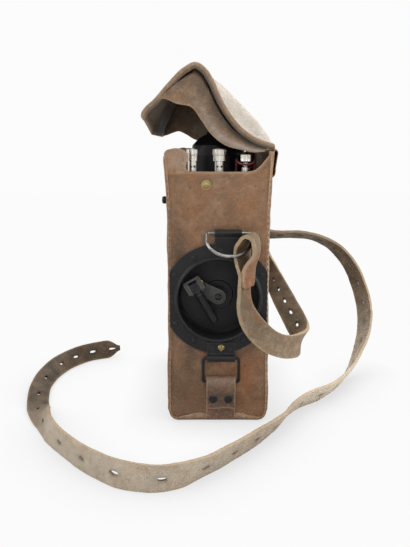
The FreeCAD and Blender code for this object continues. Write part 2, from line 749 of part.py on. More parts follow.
def ringer_frame():
    yoke = box(-22, 22, 19.0, 35.0, 107.0, 112.0)
    cores = [rod_z(3.0, x, 27.0, 112.0, 142.0) for x in (-14.0, 14.0)]
    back = box(-36, 36, 5.2, 8.2, 100.0, 198.0)
    foot = box(-22, 22, 8.2, 19.0, 107.0, 112.0)
    cheeks = box(-3.0, 3.0, 8.2, 19.0, 150.0, 154.0)
    pivot = rod_y(1.5, 0, 152.0, 8.2, 34.0)
    posts = [rod_y(2.0, x, 178.0, 8.2, 33.0) for x in (-22.5, 22.5)]
    return joined([back, foot, yoke, cheeks, pivot] + cores + posts)


def ringer_gongs():
    """Two thin bells on their posts."""
    gongs = []
    for x in (-22.5, 22.5):
        outline = [
            (2.0, 31.0), (7.0, 30.4), (13.5, 26.5), (17.0, 16.5),
            (15.8, 16.5), (12.6, 25.4), (6.6, 29.2), (2.0, 29.8),
        ]
        gongs.append(spun(outline, x, 0, 178.0))
    return group(gongs)


def clapper():
    """Rocking armature with the wire and ball that strike the bells."""
    bar = box(-20, 20, 21.0, 33.0, 143.9, 147.4)
    hub = rod_y(3.6, 0, 152.0, 21.0, 33.0)
    neck = box(-3, 3, 21.0, 33.0, 147.4, 152.0)
    stem = rod_z(0.9, 0, 24.0, 154.0, 174.0)
    ball = Part.makeSphere(3.8, V(0, 24.0, 177.0))
    piece = joined([bar, hub, neck, stem, ball])
    return piece.cut(rod_y(1.5 + RUN_FIT, 0, 152.0, 15, 36))


def dry_cells():
    cells = []
    for x in (-18.0, 18.0):
        outline = [(0, 7.0), (16.5, 7.0), (16.5, 64.5), (15.5, 65.5), (4.6, 65.5), (4.6, 67.5), (0, 67.5)]
        cells.append(spun(outline, x, 70.5, 0, "z"))
    return group(cells)


def battery_holder():
    t = 1.0
    outer = box(-37, 37, 52.0, 89.5, 4.7, 52.0)
    return outer.cut(box(-37 + t, 37 - t, 52.0 + t, 89.5 - t, 4.7 + t, 60))


def battery_contacts():
    """Flat springs over the cells, hung from the rear cross wall."""
    strips = []
    for x in (-18.0, 18.0):
        post = box(x - 4, x + 4, 51.2, 52.0, 68.5, 90.0)
        arm = box(x - 4, x + 4, 51.2, 76.0, 67.7, 68.5)
        strips.append(joined([post, arm]))
    return strips


def capacitor():
    can = box(-24, 24, 51.2, 74.0, 94.0, 134.0)
    tags = [rod_z(1.5, x, 62.0, 134.0, 140.0) for x in (-12.0, 12.0)]
    return joined([can] + tags)


def induction_coil():
    """Wound spool between two square cheeks, with its iron core."""
    cheeks = [box(x, x + 3, 51.2, 77.2, 150.0, 176.0) for x in (-30.0, 27.0)]
    coil = rod_x(11.0, 64.2, 163.0, -27.0, 27.0)
    core = rod_x(4.0, 64.2, 163.0, -33.0, 33.0)
    return joined(cheeks + [coil, core])


def top_panel():
    """Moulded cover over the works, with the terminal block along its front."""
    panel = box(-41.4, 41.4, -93.4, 93.0, PANEL_Z, PANEL_TOP)
    return panel.cut(rod_z(6.0, GLAND_X, GLAND_Y, PANEL_Z - 1, PANEL_TOP + 1))


def terminal_block():
    block = box(-40.5, 40.5, -93.4, -76.0, PANEL_TOP, BLOCK_TOP)
    for x in POST_X:
        block = block.cut(rod_z(2.6, x, POST_Y, PANEL_TOP + 3, BLOCK_TOP + 1))
    block = block.cut(rod_z(2.2 + RUN_FIT, THUMB_X, POST_Y, PANEL_TOP + 3, BLOCK_TOP + 1))
    return block


def cord_gland():
    """Rubber bush in the panel where the handset's lead would pass."""
    return spun([(2.6, 201.5), (7.5, 201.5), (7.5, 203.0), (6.0, 203.0), (6.0, 207.0),
                 (7.5, 207.0), (7.5, 209.0), (5.0, 211.0), (2.6, 211.0)], GLAND_X, GLAND_Y, 0, "z")


def panel_screws():
    screws = []
    for x in (-36.0, 36.0):
        for y in (-70.0, 88.0):
            head = [(0, PANEL_TOP), (3.0, PANEL_TOP), (2.4, PANEL_TOP + 1.2), (0, PANEL_TOP + 1.5)]
            screws.append(spun(head, x, y, 0, "z"))
    return group(screws)


# Terminals

def post_sleeve(x):
    """Fixed sleeve of a spring terminal, with the hole that takes the wire."""
    sleeve = rod_z(SLEEVE_R, x, POST_Y, BLOCK_TOP, 242.6)
    foot = rod_z(5.6, x, POST_Y, BLOCK_TOP, BLOCK_TOP + 2.0)
    sleeve = joined([sleeve, foot]).cut(rod_z(2.6, x, POST_Y, BLOCK_TOP - 1, 244))
    return sleeve.cut(box(x - 2.6, x + 2.6, POST_Y - 6, POST_Y + 6, 232.6, 234.4))


def post_cap(x, radius):
    """Push cap that slides down over the sleeve, on a stem inside it."""
    z0, top = POST_SKIRT_Z, POST_TOP
    outline = [
        (SLEEVE_R + 0.1, z0), (radius - 0.5, z0), (radius - 0.5, z0 + 5.0), (radius, z0 + 5.4),
        (radius, top - 1.2), (radius - 1.0, top), (0, top), (0, 224.0), (2.5, 224.0),
        (2.5, 246.0), (SLEEVE_R + 0.1, 246.0),
    ]
    return spun(outline, x, POST_Y, 0, "z")


def post_springs():
    springs = []
    for x in POST_X:
        outline = [(1.2, PANEL_TOP + 3), (2.5, PANEL_TOP + 3), (2.5, 220.5), (1.2, 220.5)]
        springs.append(spun(outline, x, POST_Y, 0, "z"))
    return group(springs)


def thumb_screw():
    """Knurled screw of the third terminal."""
    z0, top = 237.6, 245.0
    outline = [
        (0, 214.0), (2.2, 214.0), (2.2, 233.0), (2.9, 233.6), (2.9, 236.4), (2.4, z0),
        (4.6, z0), (4.6, top - 1.0), (3.6, top), (0, top),
    ]
    return spun(outline, THUMB_X, POST_Y, 0, "z")


def thumb_bush():
    outline = [(2.2 + RUN_FIT, BLOCK_TOP), (5.4, BLOCK_TOP), (5.4, 229.0), (4.0, 229.6),
               (4.0, 232.6), (2.2 + RUN_FIT, 232.6)]
    return spun(outline, THUMB_X, POST_Y, 0, "z")


def red_lead():
    """Short lead that loops round the third terminal, both ends in the block."""
    tilt = math.radians(28)
    radius, bend, wire_r = 8.0, 4.0, 1.05
    back_y, mid_z = POST_Y + 2.0, 239.0
    start_dir = V(0, math.cos(tilt), math.sin(tilt))
    mid = V(THUMB_X, back_y, mid_z)
    left = mid + V(-radius, 0, 0)
    right = mid + V(radius, 0, 0)
    bow = Part.Arc(left, mid - start_dir * radius, right).toShape()
    turn = math.pi / 2 + tilt
    drop = V(0, 0, -1)
    normal = drop - start_dir * drop.dot(start_dir)
    normal.normalize()
    legs = []
    for end in (left, right):
        centre = end + normal * bend
        half = centre - normal * (bend * math.cos(turn / 2)) + start_dir * (bend * math.sin(turn / 2))
        last = centre - normal * (bend * math.cos(turn)) + start_dir * (bend * math.sin(turn))
        legs.append((Part.Arc(end, half, last).toShape(), last))
    edges = [bow]
    for arc, last in legs:
        edges += [arc, Part.LineSegment(V(last.x, last.y, BLOCK_TOP), last).toShape()]
    return wire_loop(edges, wire_r)


# Handset

def handset_body():
    """Moulded grip that joins two domed cups."""
    cups = []
    for y in CUP_Y:
        outline = [
            (0, 216.0), (CUP_R - 2, 216.0), (CUP_R - 2, 221.0), (CUP_R - 0.4, 226.0),
            (CUP_R - 0.4, 243.0), (CUP_R - 2.4, 252.0), (17.0, 259.0), (9.0, 262.5), (0, 263.5),
        ]
        cups.append(spun(outline, 0, y, 0, "z"))
    y0, y1 = CUP_Y
    arch = [(y0 - 8, 258.0), (y0, 263.0), (y0 + 30, GRIP_TOP), (y1 - 30, GRIP_TOP),
            (y1, 263.0), (y1 + 8, 258.0), (y1, 252.0), (y1 - 28, 251.5), (y0 + 28, 251.5), (y0, 252.0)]
    grip = plate_yz(arch, -10.5, 10.5)
    ends = rounded_outline(10.5, 249.0, GRIP_TOP + 1.5, 6.5)
    ends.rotate(V(0, 0, 0), V(1, 0, 0), 90)
    ends.translate(V(0, y1 + 40, 0))
    round_bar = Part.Face(ends).extrude(V(0, y0 - y1 - 80, 0))
    handset = joined([grip.common(round_bar)] + cups)
    slot_mid = (y0 + y1) / 2
    return handset.cut(box(-4.3, 4.3, slot_mid - 21.3, slot_mid + 21.3, GRIP_TOP - 5, 280))


def cup_cover(y):
    """Screwed cap with a ring of holes, that holds the capsule in its cup."""
    outline = [
        (0, 209.0), (7.0, 209.0), (20.0, PANEL_TOP + 0.1), (CUP_R - 1.5, PANEL_TOP + 0.1),
        (CUP_R, 208.6), (CUP_R, 215.4), (CUP_R - 0.8, 216.0), (CUP_R - 6, 216.0),
        (CUP_R - 6, 211.0), (0, 211.0),
    ]
    cap = spun(outline, 0, y, 0, "z")
    for i in range(6):
        a = math.pi * i / 3
        cap = cap.cut(rod_z(1.6, 5.0 * math.cos(a), y + 5.0 * math.sin(a), 205, 212))
    return cap


def capsule(y):
    return rod_z(CUP_R - 6.2, 0, y, 211.1, 216.0)


def talk_bar():
    """Press bar let into the top of the grip."""
    mid = sum(CUP_Y) / 2
    bar = box(-4.0, 4.0, mid - 21.0, mid + 21.0, GRIP_TOP - 2.5, GRIP_TOP + 2.0)
    stem = box(-2.5, 2.5, mid - 6.0, mid + 6.0, GRIP_TOP - 2.6, GRIP_TOP - 2.0)
    return joined([bar, stem])


# Strap: centre points along its length, with the way its far edge lies.
# A height of None means that the strap stands on the ground there.
STRAP = [
    (23.5, -113.0, 137.0, 0.44, 0.90, 0.0),
    (25.5, -113.5, 143.0, 0.44, 0.90, 0.0),
    (28.5, -115.5, 152.0, 0.44, 0.90, 0.0),
    (31.0, -117.0, 163.0, 0.44, 0.90, 0.0),
    (30.4, -117.0, 171.5, 0.44, 0.90, 0.0),
    (26.0, -116.8, 176.2, 0.44, 0.90, 0.0),
    (21.8, -113.0, 171.5, 0.52, 0.85, 0.0),
    (20.6, -108.0, 163.0, 0.66, 0.75, 0.0),
    (20.4, -108.4, 158.5, 0.66, 0.75, 0.0),
    (20.2, -111.0, 151.0, 0.60, 0.80, 0.0),
    (19.6, -113.0, 141.0, 0.50, 0.87, 0.0),
    (19.4, -113.5, 128.0, 0.46, 0.88, 0.10),
    (22.0, -114.5, 114.0, 0.56, 0.78, 0.25),
    (27.5, -115.5, 101.5, 0.66, 0.55, 0.45),
    (36.0, -117.0, 90.5, 0.60, 0.32, 0.68),
    (47.0, -118.0, 82.0, 0.38, 0.22, 0.88),
    (59.0, -117.0, 78.0, 0.18, 0.15, 0.97),
    (68.5, -112.0, 77.5, 0.0, 0.0, 1.0),
    (74.0, -103.5, 79.5, -0.35, -0.10, 0.93),
    (75.0, -91.0, 84.0, -0.66, -0.10, 0.75),
    (72.5, -74.0, 90.5, -0.88, -0.10, 0.47),
    (67.5, -50.0, 99.5, -0.94, -0.05, 0.34),
    (63.0, -20.0, 108.0, -0.88, 0.0, 0.48),
    (60.0, 14.0, 114.0, -0.70, 0.0, 0.71),
    (58.0, 48.0, 119.0, -0.48, 0.0, 0.88),
    (56.5, 78.0, 126.0, -0.22, -0.05, 0.97),
    (55.0, 97.0, 134.0, 0.0, -0.10, 0.99),
    (49.0, 107.5, 142.5, 0.22, -0.10, 0.96),
    (39.5, 109.0, 149.5, 0.48, -0.25, 0.82),
    (28.5, 106.9, 155.7, 0.57, -0.41, 0.71),
    (22.1, 105.0, 160.1, 0.57, -0.41, 0.71),
    (18.7, 108.4, 165.2, 0.57, -0.41, 0.71),
    (22.1, 114.4, 165.6, 0.57, -0.41, 0.71),
    (28.5, 117.2, 161.4, 0.57, -0.41, 0.71),
    (40.0, 119.5, 155.0, 0.40, -0.52, 0.72),
    (54.0, 120.5, 149.5, 0.20, -0.72, 0.65),
    (70.0, 120.0, 147.5, 0.05, -0.85, 0.50),
    (87.0, 120.0, 147.6, 0.0, -0.90, 0.43),
    (103.0, 120.0, 147.0, 0.0, -0.90, 0.43),
    (122.0, 119.0, 143.5, 0.05, -0.90, 0.42),
    (138.5, 116.0, 135.5, 0.20, -0.86, 0.42),
    (152.0, 110.0, 123.5, 0.35, -0.82, 0.42),
    (161.5, 103.0, 109.5, 0.45, -0.78, 0.40),
    (168.5, 94.0, 92.0, 0.52, -0.74, 0.40),
    (172.5, 83.0, 73.5, 0.55, -0.72, 0.40),
    (172.5, 71.0, 55.5, 0.55, -0.70, 0.45),
    (168.0, 58.5, 38.5, 0.52, -0.62, 0.58),
    (160.0, 45.0, 24.0, 0.48, -0.50, 0.72),
    (150.0, 27.0, 13.5, 0.46, -0.38, 0.80),
    (138.5, 6.0, None, 0.46, -0.33, 0.83),
    (128.0, -15.0, None, 0.45, -0.33, 0.83),
    (107.0, -45.0, None, 0.44, -0.33, 0.83),
    (84.0, -66.0, None, 0.44, -0.36, 0.83),
    (69.5, -87.5, None, 0.44, -0.34, 0.83),
    (52.5, -124.0, None, 0.42, -0.28, 0.86),
    (37.5, -147.0, None, 0.38, -0.24, 0.89),
    (5.0, -189.5, None, 0.28, -0.22, 0.93),
    (-14.5, -211.0, None, 0.20, -0.26, 0.94),
    (-31.0, -224.0, None, 0.05, -0.12, 0.99),
    (-46.0, -228.5, None, 0.0, 0.0, 1.0),
    (-60.0, -227.5, None, 0.0, 0.12, 0.99),
    (-74.0, -222.0, None, 0.05, 0.22, 0.97),
    (-97.5, -204.5, None, 0.08, 0.10, 0.99),
    (-125.0, -173.5, None, 0.05, 0.04, 0.99),
    (-146.0, -141.0, None, 0.20, 0.10, 0.97),
    (-158.0, -113.0, None, 0.48, 0.20, 0.85),
    (-166.5, -90.0, None, 0.80, 0.28, 0.50),
    (-173.5, -68.0, None, 0.93, 0.25, 0.10),
    (-179.5, -42.0, None, 0.95, 0.15, -0.22),
    (-183.0, -12.0, None, 0.90, 0.05, -0.42),
    (-181.5, 20.0, None, 0.82, -0.10, -0.56),
    (-175.0, 48.0, None, 0.68, -0.22, -0.70),
    (-163.5, 70.0, None, 0.45, -0.28, -0.84),
    (-150.0, 86.0, None, 0.20, -0.25, -0.94),
    (-132.0, 98.0, None, 0.08, -0.25, -0.96),
    (-115.5, 105.0, None, 0.05, -0.20, -0.97),
]


def strap_sections():
    """Four corners of the strap's section at every station."""
    count = len(STRAP)
    sections = []
    for i, (x, y, z, wx, wy, wz) in enumerate(STRAP):
        before = STRAP[max(i - 1, 0)]
        after = STRAP[min(i + 1, count - 1)]
        if z is None:
            climb = 0.0
        else:
            climb = (after[2] or 10.0) - (before[2] or 10.0)
        along = V(after[0] - before[0], after[1] - before[1], climb)
        along.normalize()
        wide = V(wx, wy, wz)
        wide = wide - along * wide.dot(along)
        wide.normalize()
        thick = along.cross(wide)
        if z is None:
            z = STRAP_W / 2 * abs(wide.z) + STRAP_T / 2 * abs(thick.z) + 0.02
        mid = V(x, y, z)
        a, b = wide * (STRAP_W / 2), thick * (STRAP_T / 2)
        sections.append([mid - a - b, mid - a + b, mid + a + b, mid + a - b])
    return sections


def flat_face(corners):
    return Part.Face(Part.makePolygon(corners + corners[:1]))


def shoulder_strap():
    """Leather strap in flat facets between the stations, grooved where the ring wires press."""
    sections = strap_sections()
    faces = [flat_face(sections[0]), flat_face(sections[-1])]
    for this, after in zip(sections, sections[1:]):
        for i in range(4):
            j = (i + 1) % 4
            faces.append(flat_face([this[i], this[j], after[j]]))
            faces.append(flat_face([this[i], after[j], after[i]]))
    shell = Part.makeShell(faces)
    shell.sewShape()
    strap = Part.makeSolid(shell)
    if strap.Volume < 0:
        strap.reverse()
    groove_r = RING_WIRE_R + 0.3
    for groove in (carry_ring(-1, RING_LEAN, groove_r), carry_ring(1, REAR_RING_LEAN, groove_r)):
        strap = max(strap.cut(groove).Solids, key=lambda solid: solid.Volume)
    return strap


def parts():
    strip, near_wall, far_wall = case_leather()
    socket, socket_room = snap_socket()
    return {
        "case_strip": strip.cut(closure_stud()),
        "crank_end_wall": near_wall,
        "far_end_wall": far_wall,
        "hinge_strip": hinge_strip(),
        "bottom_tab": bottom_tab(),
        "tab_rivets": tab_rivets(),
        "crank_well": crank_well(),
        "flange_screws": flange_screws(),
        "upper_bracket": ring_bracket(RING_X - 0.6, -CASE_HALF_L, FLANGE_FACE_Y, -1),
        "lower_bracket": lower_bracket(),
        "bracket_screw": bracket_screw(),
        "bracket_pins": bracket_pins(),
        "rear_bracket": ring_bracket(RING_X - 0.6, CASE_HALF_L, CASE_HALF_L, 1),
        "case_screw": case_screw(),
        "closure_stud": closure_stud(),
        "chassis": chassis(),
        "top_panel": top_panel(),
        "panel_screws": panel_screws(),
        "terminal_block": terminal_block(),
        "post_sleeves": group([post_sleeve(x) for x in POST_X] + [thumb_bush()]),
        "post_springs": post_springs(),
        "red_lead": red_lead(),
        "cord_gland": cord_gland(),
        "generator_plates": group(generator_plates()),
        "generator_magnets": magnets(),
        "pole_pieces": pole_pieces(),
        "ringer_frame": ringer_frame(),
        "ringer_coils": ringer_coils(),
        "ringer_gongs": ringer_gongs(),
        "dry_cells": dry_cells(),
        "battery_holder": group([battery_holder()] + battery_contacts()),
        "capacitor": capacitor(),
        "induction_coil": induction_coil(),
        "shoulder_strap": shoulder_strap(),
        "lid_panel": lid_panel().cut(socket_room),
        "lid_gussets": group(lid_gussets()),
        "lid_welts": group(lid_welts()),
        "snap_socket": socket,
        "crank_shaft": crank_shaft(),
        "crank_arm": crank_arm(),
        "hub_screw": hub_screw(),
        "crank_fork": crank_fork(),
        "crank_pin": crank_pin(),
        "drive_gear": drive_gear(),
        "handle_root": handle_root(),
        "handle_grip": handle_grip(),
        "armature_core": armature_core(),
        "armature_winding": armature_winding(),
        "armature_pinion": armature_pinion(),
        "front_ring": carry_ring(-1, RING_LEAN),
        "rear_ring": carry_ring(1, REAR_RING_LEAN),
        "bottom_link": bottom_link(),
        "left_post_cap": post_cap(POST_X[0], POST_HEAD_R[0]),
        "right_post_cap": post_cap(POST_X[1], POST_HEAD_R[1]),
        "thumb_screw": thumb_screw(),
        "handset_body": handset_body(),
        "cup_covers": group([cup_cover(y) for y in CUP_Y]),
        "capsules": group([capsule(y) for y in CUP_Y]),
        "talk_bar": talk_bar(),
        "clapper": clapper(),
    }


if __name__ == "__main__":
    for name, shape in parts().items():
        save(name, shape)
        state = "valid" if shape.isValid() else "NOT VALID"
        print(name, len(shape.Solids), "solids", round(shape.Volume), "mm3", state)
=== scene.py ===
# %% [markdown]
# # A field telephone in a worn leather case
#
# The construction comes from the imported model, which is loaded as a fixed frame. This script gives
# each of its nodes a finish, and replaces the leather nodes by surfaces that are worked out with
# numpy: a sewn case, a stiff curled lid and a long strap.
#
# Sizes inside the helpers are millimetres, because leather is cut in millimetres. One function turns
# them into Blender's metres when the mesh is made.

# %% Load the frame
import bmesh
import bpy
import numpy as np
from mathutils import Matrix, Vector


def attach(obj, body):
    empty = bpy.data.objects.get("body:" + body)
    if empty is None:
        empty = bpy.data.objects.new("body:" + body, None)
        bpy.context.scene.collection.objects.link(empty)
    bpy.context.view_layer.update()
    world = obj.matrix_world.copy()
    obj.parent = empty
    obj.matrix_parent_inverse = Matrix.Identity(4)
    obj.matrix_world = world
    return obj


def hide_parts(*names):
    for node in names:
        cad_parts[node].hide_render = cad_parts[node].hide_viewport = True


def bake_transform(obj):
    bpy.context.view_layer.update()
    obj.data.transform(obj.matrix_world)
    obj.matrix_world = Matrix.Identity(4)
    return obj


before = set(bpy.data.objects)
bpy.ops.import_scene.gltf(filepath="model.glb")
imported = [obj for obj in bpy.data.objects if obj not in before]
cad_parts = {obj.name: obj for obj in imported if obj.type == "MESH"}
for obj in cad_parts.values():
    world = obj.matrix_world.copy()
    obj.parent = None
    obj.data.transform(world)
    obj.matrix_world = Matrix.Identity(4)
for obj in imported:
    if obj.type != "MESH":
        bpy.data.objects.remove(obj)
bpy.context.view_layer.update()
MM = 0.001
TURN = 2 * np.pi

# %% [markdown]
# ## Objects and shader nodes
#
# Everything below adds objects to the scene and nodes to materials. A socket gets either a value or
# a link from another socket, so one function sets both.

# %% Objects and shader nodes
def added(name, data):
    """A new object with the data, linked into the scene."""
    thing = bpy.data.objects.new(name, data)
    bpy.context.scene.collection.objects.link(thing)
    return thing


def wire(tree, target, inputs):
    """Set a node's inputs: name or number to a value or to another socket."""
    for socket, value in dict(inputs).items():
        if isinstance(value, bpy.types.NodeSocket):
            tree.links.new(value, target.inputs[socket])
        else:
            target.inputs[socket].default_value = value


def node(tree, kind, inputs=(), **settings):
    """Add a shader node with its settings and inputs."""
    new = tree.nodes.new("ShaderNode" + kind)
    for key, value in settings.items():
        setattr(new, key, value)
    wire(tree, new, inputs)
    return new


def math(tree, operation, one, two, clamp=False):
    return node(tree, "Math", {0: one, 1: two}, operation=operation, use_clamp=clamp).outputs[0]


def ranged(tree, value, from_min=0, from_max=1, to_min=0, to_max=1, kind="LINEAR"):
    """The value moved from one range to another."""
    limits = {"Value": value, "From Min": from_min, "From Max": from_max, "To Min": to_min, "To Max": to_max}
    return node(tree, "MapRange", limits, interpolation_type=kind).outputs["Result"]


def empty_material(name):
    """A new material with its tree, its shader and the object coordinates."""
    material = bpy.data.materials.new(name)
    material.use_nodes = True
    tree = material.node_tree
    return material, tree, tree.nodes["Principled BSDF"], node(tree, "TexCoord").outputs["Object"]


# %% [markdown]
# ## Camera
#
# The photograph was taken a little above the top of the case, looking down at it by about ten
# degrees. A lens of 45 mm on a 36 mm frame, measured along the long side of the picture, makes the
# far end of the strap and the near end of the case as large beside each other as they are there.

# %% Camera
CAMERA_PLACE = (-0.012, -0.6975, 0.251)
CAMERA_DOWN_DEG = 10.5
LENS_MM = 45.15

camera = added("camera", bpy.data.cameras.new("camera"))
camera.location = CAMERA_PLACE
camera.rotation_euler = (np.radians(90 - CAMERA_DOWN_DEG), 0, 0)
camera.data.lens = LENS_MM
camera.data.clip_start = 0.01
bpy.context.scene.camera = camera

# %% [markdown]
# ## Light and floor
#
# A white room: one wide lamp above and behind, which makes the top of the lid shine, one wide lamp on
# each side and a weak one beside the camera. The world and the floor are white only to the camera and
# to reflections, so that the white ground adds no light to the object. Close to the object the floor's
# white is darkened by a painted contact shadow.

# %% Light and floor
MIDDLE = (0, 0, 0.15)
WORLD_STRENGTH = 0.42
FLOOR_HALF = 3


def lamp(name, place, size, watts):
    """A round lamp of that width, turned to the middle of the object."""
    light = bpy.data.lights.new(name, "AREA")
    light.shape = "DISK"
    light.size = size
    light.energy = watts
    holder = added(name, light)
    holder.location = place
    holder.rotation_euler = (Vector(MIDDLE) - Vector(place)).to_track_quat("-Z", "Y").to_euler()


def white_to_camera(tree, lit, flat_white, target):
    """Mix two shaders: flat white for camera, mirror and glass rays, the lit one for the rest."""
    path = node(tree, "LightPath").outputs
    seen = math(tree, "MAXIMUM", path["Is Camera Ray"], path["Is Glossy Ray"])
    seen = math(tree, "MAXIMUM", seen, path["Is Transmission Ray"])
    mix = node(tree, "MixShader", {0: seen, 1: lit.outputs[0], 2: flat_white.outputs[0]})
    tree.links.new(mix.outputs[0], target.inputs[0])


lamp("top_lamp", (0.25, 0.35, 1.35), 0.9, 17)
lamp("left_lamp", (-1.2, -0.35, 0.75), 0.9, 8)
lamp("right_lamp", (1.2, -0.15, 0.7), 0.9, 11)
lamp("front_lamp", (0, -1.5, 0.9), 1.2, 7)

world = bpy.data.worlds.new("white_room")
world.use_nodes = True
bpy.context.scene.world = world
tree = world.node_tree
ambient = tree.nodes["Background"]
wire(tree, ambient, {"Color": (1, 1, 1, 1), "Strength": WORLD_STRENGTH})
shown = node(tree, "Background", {"Color": (0.97, 0.97, 0.97, 1)})
white_to_camera(tree, ambient, shown, tree.nodes["World Output"])

floor_mesh = bpy.data.meshes.new("floor")
corners = [(x * FLOOR_HALF, y * FLOOR_HALF, 0) for x, y in ((-1, -1), (1, -1), (1, 1), (-1, 1))]
floor_mesh.from_pydata(corners, [], [(0, 1, 2, 3)])
floor = added("floor", floor_mesh)
paper, tree, matte, _ = empty_material("white_floor")
wire(tree, matte, {"Base Color": (0.8, 0.8, 0.8, 1), "Roughness": 0.9, "Specular IOR Level": 0.1})
# Painted contact shadow: the floor's white, as the camera sees it, is darker where the object is close.
painted_contact_shadow = node(tree, "AmbientOcclusion", {"Distance": 0.05}, samples=8)
tone = ranged(tree, painted_contact_shadow.outputs["AO"], 0.25, 1, 0.72, 0.965)
white_to_camera(tree, matte, node(tree, "Emission", {"Strength": tone}), tree.nodes["Material Output"])
floor.data.materials.append(paper)

bpy.context.scene.view_settings.view_transform = "Standard"

# %% [markdown]
# ## Curves, grids and unevenness
#
# Every new piece is a grid of points that numpy works out at once. A smooth curve is made of cubic
# arcs between given points, with the mean slope of its neighbours at each point. Leather is never
# even, so a sum of a few sine waves in random directions moves the points by tenths of a millimetre.

# %% Curves, grids and unevenness
def smoothstep(t):
    """0 below 0, 1 above 1, and 3t² - 2t³ between."""
    t = np.clip(t, 0, 1)
    return t * t * (3 - 2 * t)


def ramp(value, start, width):
    """A smooth step that begins at start and is complete a width further on."""
    return smoothstep((value - start) / width)


def bell(value, width=1):
    """1 at 0 and falling to nothing on both sides: exp(-(value / width)²)."""
    return np.exp(-((value / width) ** 2))


def unit(vectors):
    return vectors / np.linalg.norm(vectors, axis=-1)[..., None]


def lengths(line):
    """The distance along the line at each of its points."""
    return np.concatenate(([0], np.cumsum(np.linalg.norm(np.diff(line[:, :3], axis=0), axis=1))))


def sampled(at, run, table):
    """Rows of the table, whose own rows lie at run, by straight interpolation."""
    return np.column_stack([np.interp(at, run, column) for column in table.T])


def spline(points, count):
    """Evenly spaced points on cubic arcs whose slopes are the gradients at the given points."""
    points = np.asarray(points, float)
    knots = lengths(points)
    slopes = np.gradient(points, knots, axis=0)
    fine = np.linspace(0, knots[-1], 24 * len(points))
    i = np.clip(np.searchsorted(knots, fine, side="right") - 1, 0, len(knots) - 2)
    width = (knots[i + 1] - knots[i])[:, None]
    t = (fine - knots[i])[:, None] / width
    curve = (
        (2 * t**3 - 3 * t**2 + 1) * points[i] + (t**3 - 2 * t**2 + t) * width * slopes[i]
        + (3 * t**2 - 2 * t**3) * points[i + 1] + (t**3 - t**2) * width * slopes[i + 1]
    )
    run = lengths(curve)
    return sampled(np.linspace(0, run[-1], count), run, curve)


def ripple(points, size, seed, waves=14):
    """Sum of sine waves about `size` long in random directions, scaled to lie near -1..1."""
    chance = np.random.default_rng(seed)
    ways = unit(chance.normal(size=(waves, 3)))
    wave_lengths = size * chance.uniform(0.6, 1.6, waves)
    phases = chance.uniform(0, TURN, waves)
    return np.sin(points @ (ways * (TURN / wave_lengths)[:, None]).T + phases).sum(-1) / np.sqrt(waves)


def surface(name, points, inside=None, wrap=False, keep=None, **marks):
    """A mesh object of a (rows, columns, 3) grid in millimetres, with lengths as its UV map.

    The faces are turned so that they look away from the point inside, or along the product of the
    row and column directions if there is none. wrap joins the last column to the first. keep masks
    the cells that exist. Each mark is a grid of values from 0 to 1, stored for the material.
    """
    rows, columns = points.shape[:2]
    index = np.arange(rows * columns).reshape(rows, columns)
    closed = points
    if wrap:
        closed = np.concatenate([points, points[:, :1]], axis=1)
        index = np.column_stack([index, index[:, 0]])
    uv = np.zeros((*index.shape, 2))
    uv[:, 1:, 0] = np.linalg.norm(np.diff(closed, axis=1), axis=2).cumsum(axis=1) * MM
    uv[1:, :, 1] = np.linalg.norm(np.diff(closed, axis=0), axis=2).cumsum(axis=0) * MM
    first, last = slice(None, -1), slice(1, None)
    ring = [(first, first), (first, last), (last, last), (last, first)]
    facing = np.cross(closed[1:, 1:] - closed[:-1, :-1], closed[1:, :-1] - closed[:-1, 1:])
    if inside is None or (facing * (closed[1:, 1:] + closed[:-1, :-1] - 2 * np.array(inside))).sum() < 0:
        ring = ring[::-1]
    mask = np.ones((rows - 1, index.shape[1] - 1), bool) if keep is None else keep
    corners = np.stack([index[part] for part in ring], axis=-1)[mask].reshape(-1, 4)
    corner_uv = np.stack([uv[part] for part in ring], axis=-2)[mask].reshape(-1, 2)
    used, compact = np.unique(corners, return_inverse=True)
    mesh = bpy.data.meshes.new(name)
    mesh.from_pydata((points.reshape(-1, 3)[used] * MM).tolist(), [], compact.reshape(-1, 4).tolist())
    mesh.uv_layers.new(name="lengths").data.foreach_set("uv", corner_uv.ravel())
    for mark, values in marks.items():
        layer = mesh.attributes.new(mark, "FLOAT", "POINT")
        layer.data.foreach_set("value", np.ascontiguousarray(values.reshape(-1)[used], np.float32))
    mesh.shade_smooth()
    return added(name, mesh)


def weld(piece, reach=0.01):
    """Join points that are closer than reach millimetres, which closes seams and poles."""
    work = bmesh.new()
    work.from_mesh(piece.data)
    bmesh.ops.remove_doubles(work, verts=work.verts, dist=reach * MM)
    bmesh.ops.dissolve_degenerate(work, edges=work.edges, dist=reach * MM)
    work.to_mesh(piece.data)
    work.free()
    piece.data.shade_smooth()


def thicken(piece, thick, round_edge=0, offset=-1, even=True):
    """Give a single layer its thickness, inwards, and round the edges that this makes."""
    solid = piece.modifiers.new("thickness", "SOLIDIFY")
    solid.thickness = thick * MM
    solid.offset = offset
    solid.use_even_offset = even
    if round_edge:
        bevel = piece.modifiers.new("rounding", "BEVEL")
        bevel.width = round_edge * MM
        bevel.segments = 3
        bevel.limit_method = "ANGLE"
        bevel.angle_limit = np.radians(50)


def place(piece, body, material, slot_name, *replaced):
    """Material and the CAD nodes that the piece stands for, and its body if it has only one; slot_name is not
    used.
    """
    piece.data.materials.append(material)
    if body:
        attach(piece, body)
    if replaced:
        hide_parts(*replaced)
    print(piece.name, len(piece.data.polygons), "faces")


# %% [markdown]
# ## Shared effects for the materials
#
# Worn things share a few effects: patches where use has changed the colour, a fine grain, edges
# that are rubbed bare, and dust that settles on what faces up. Each effect is one node group that
# returns a mask or a normal, and each material decides what colour the mask stands for.

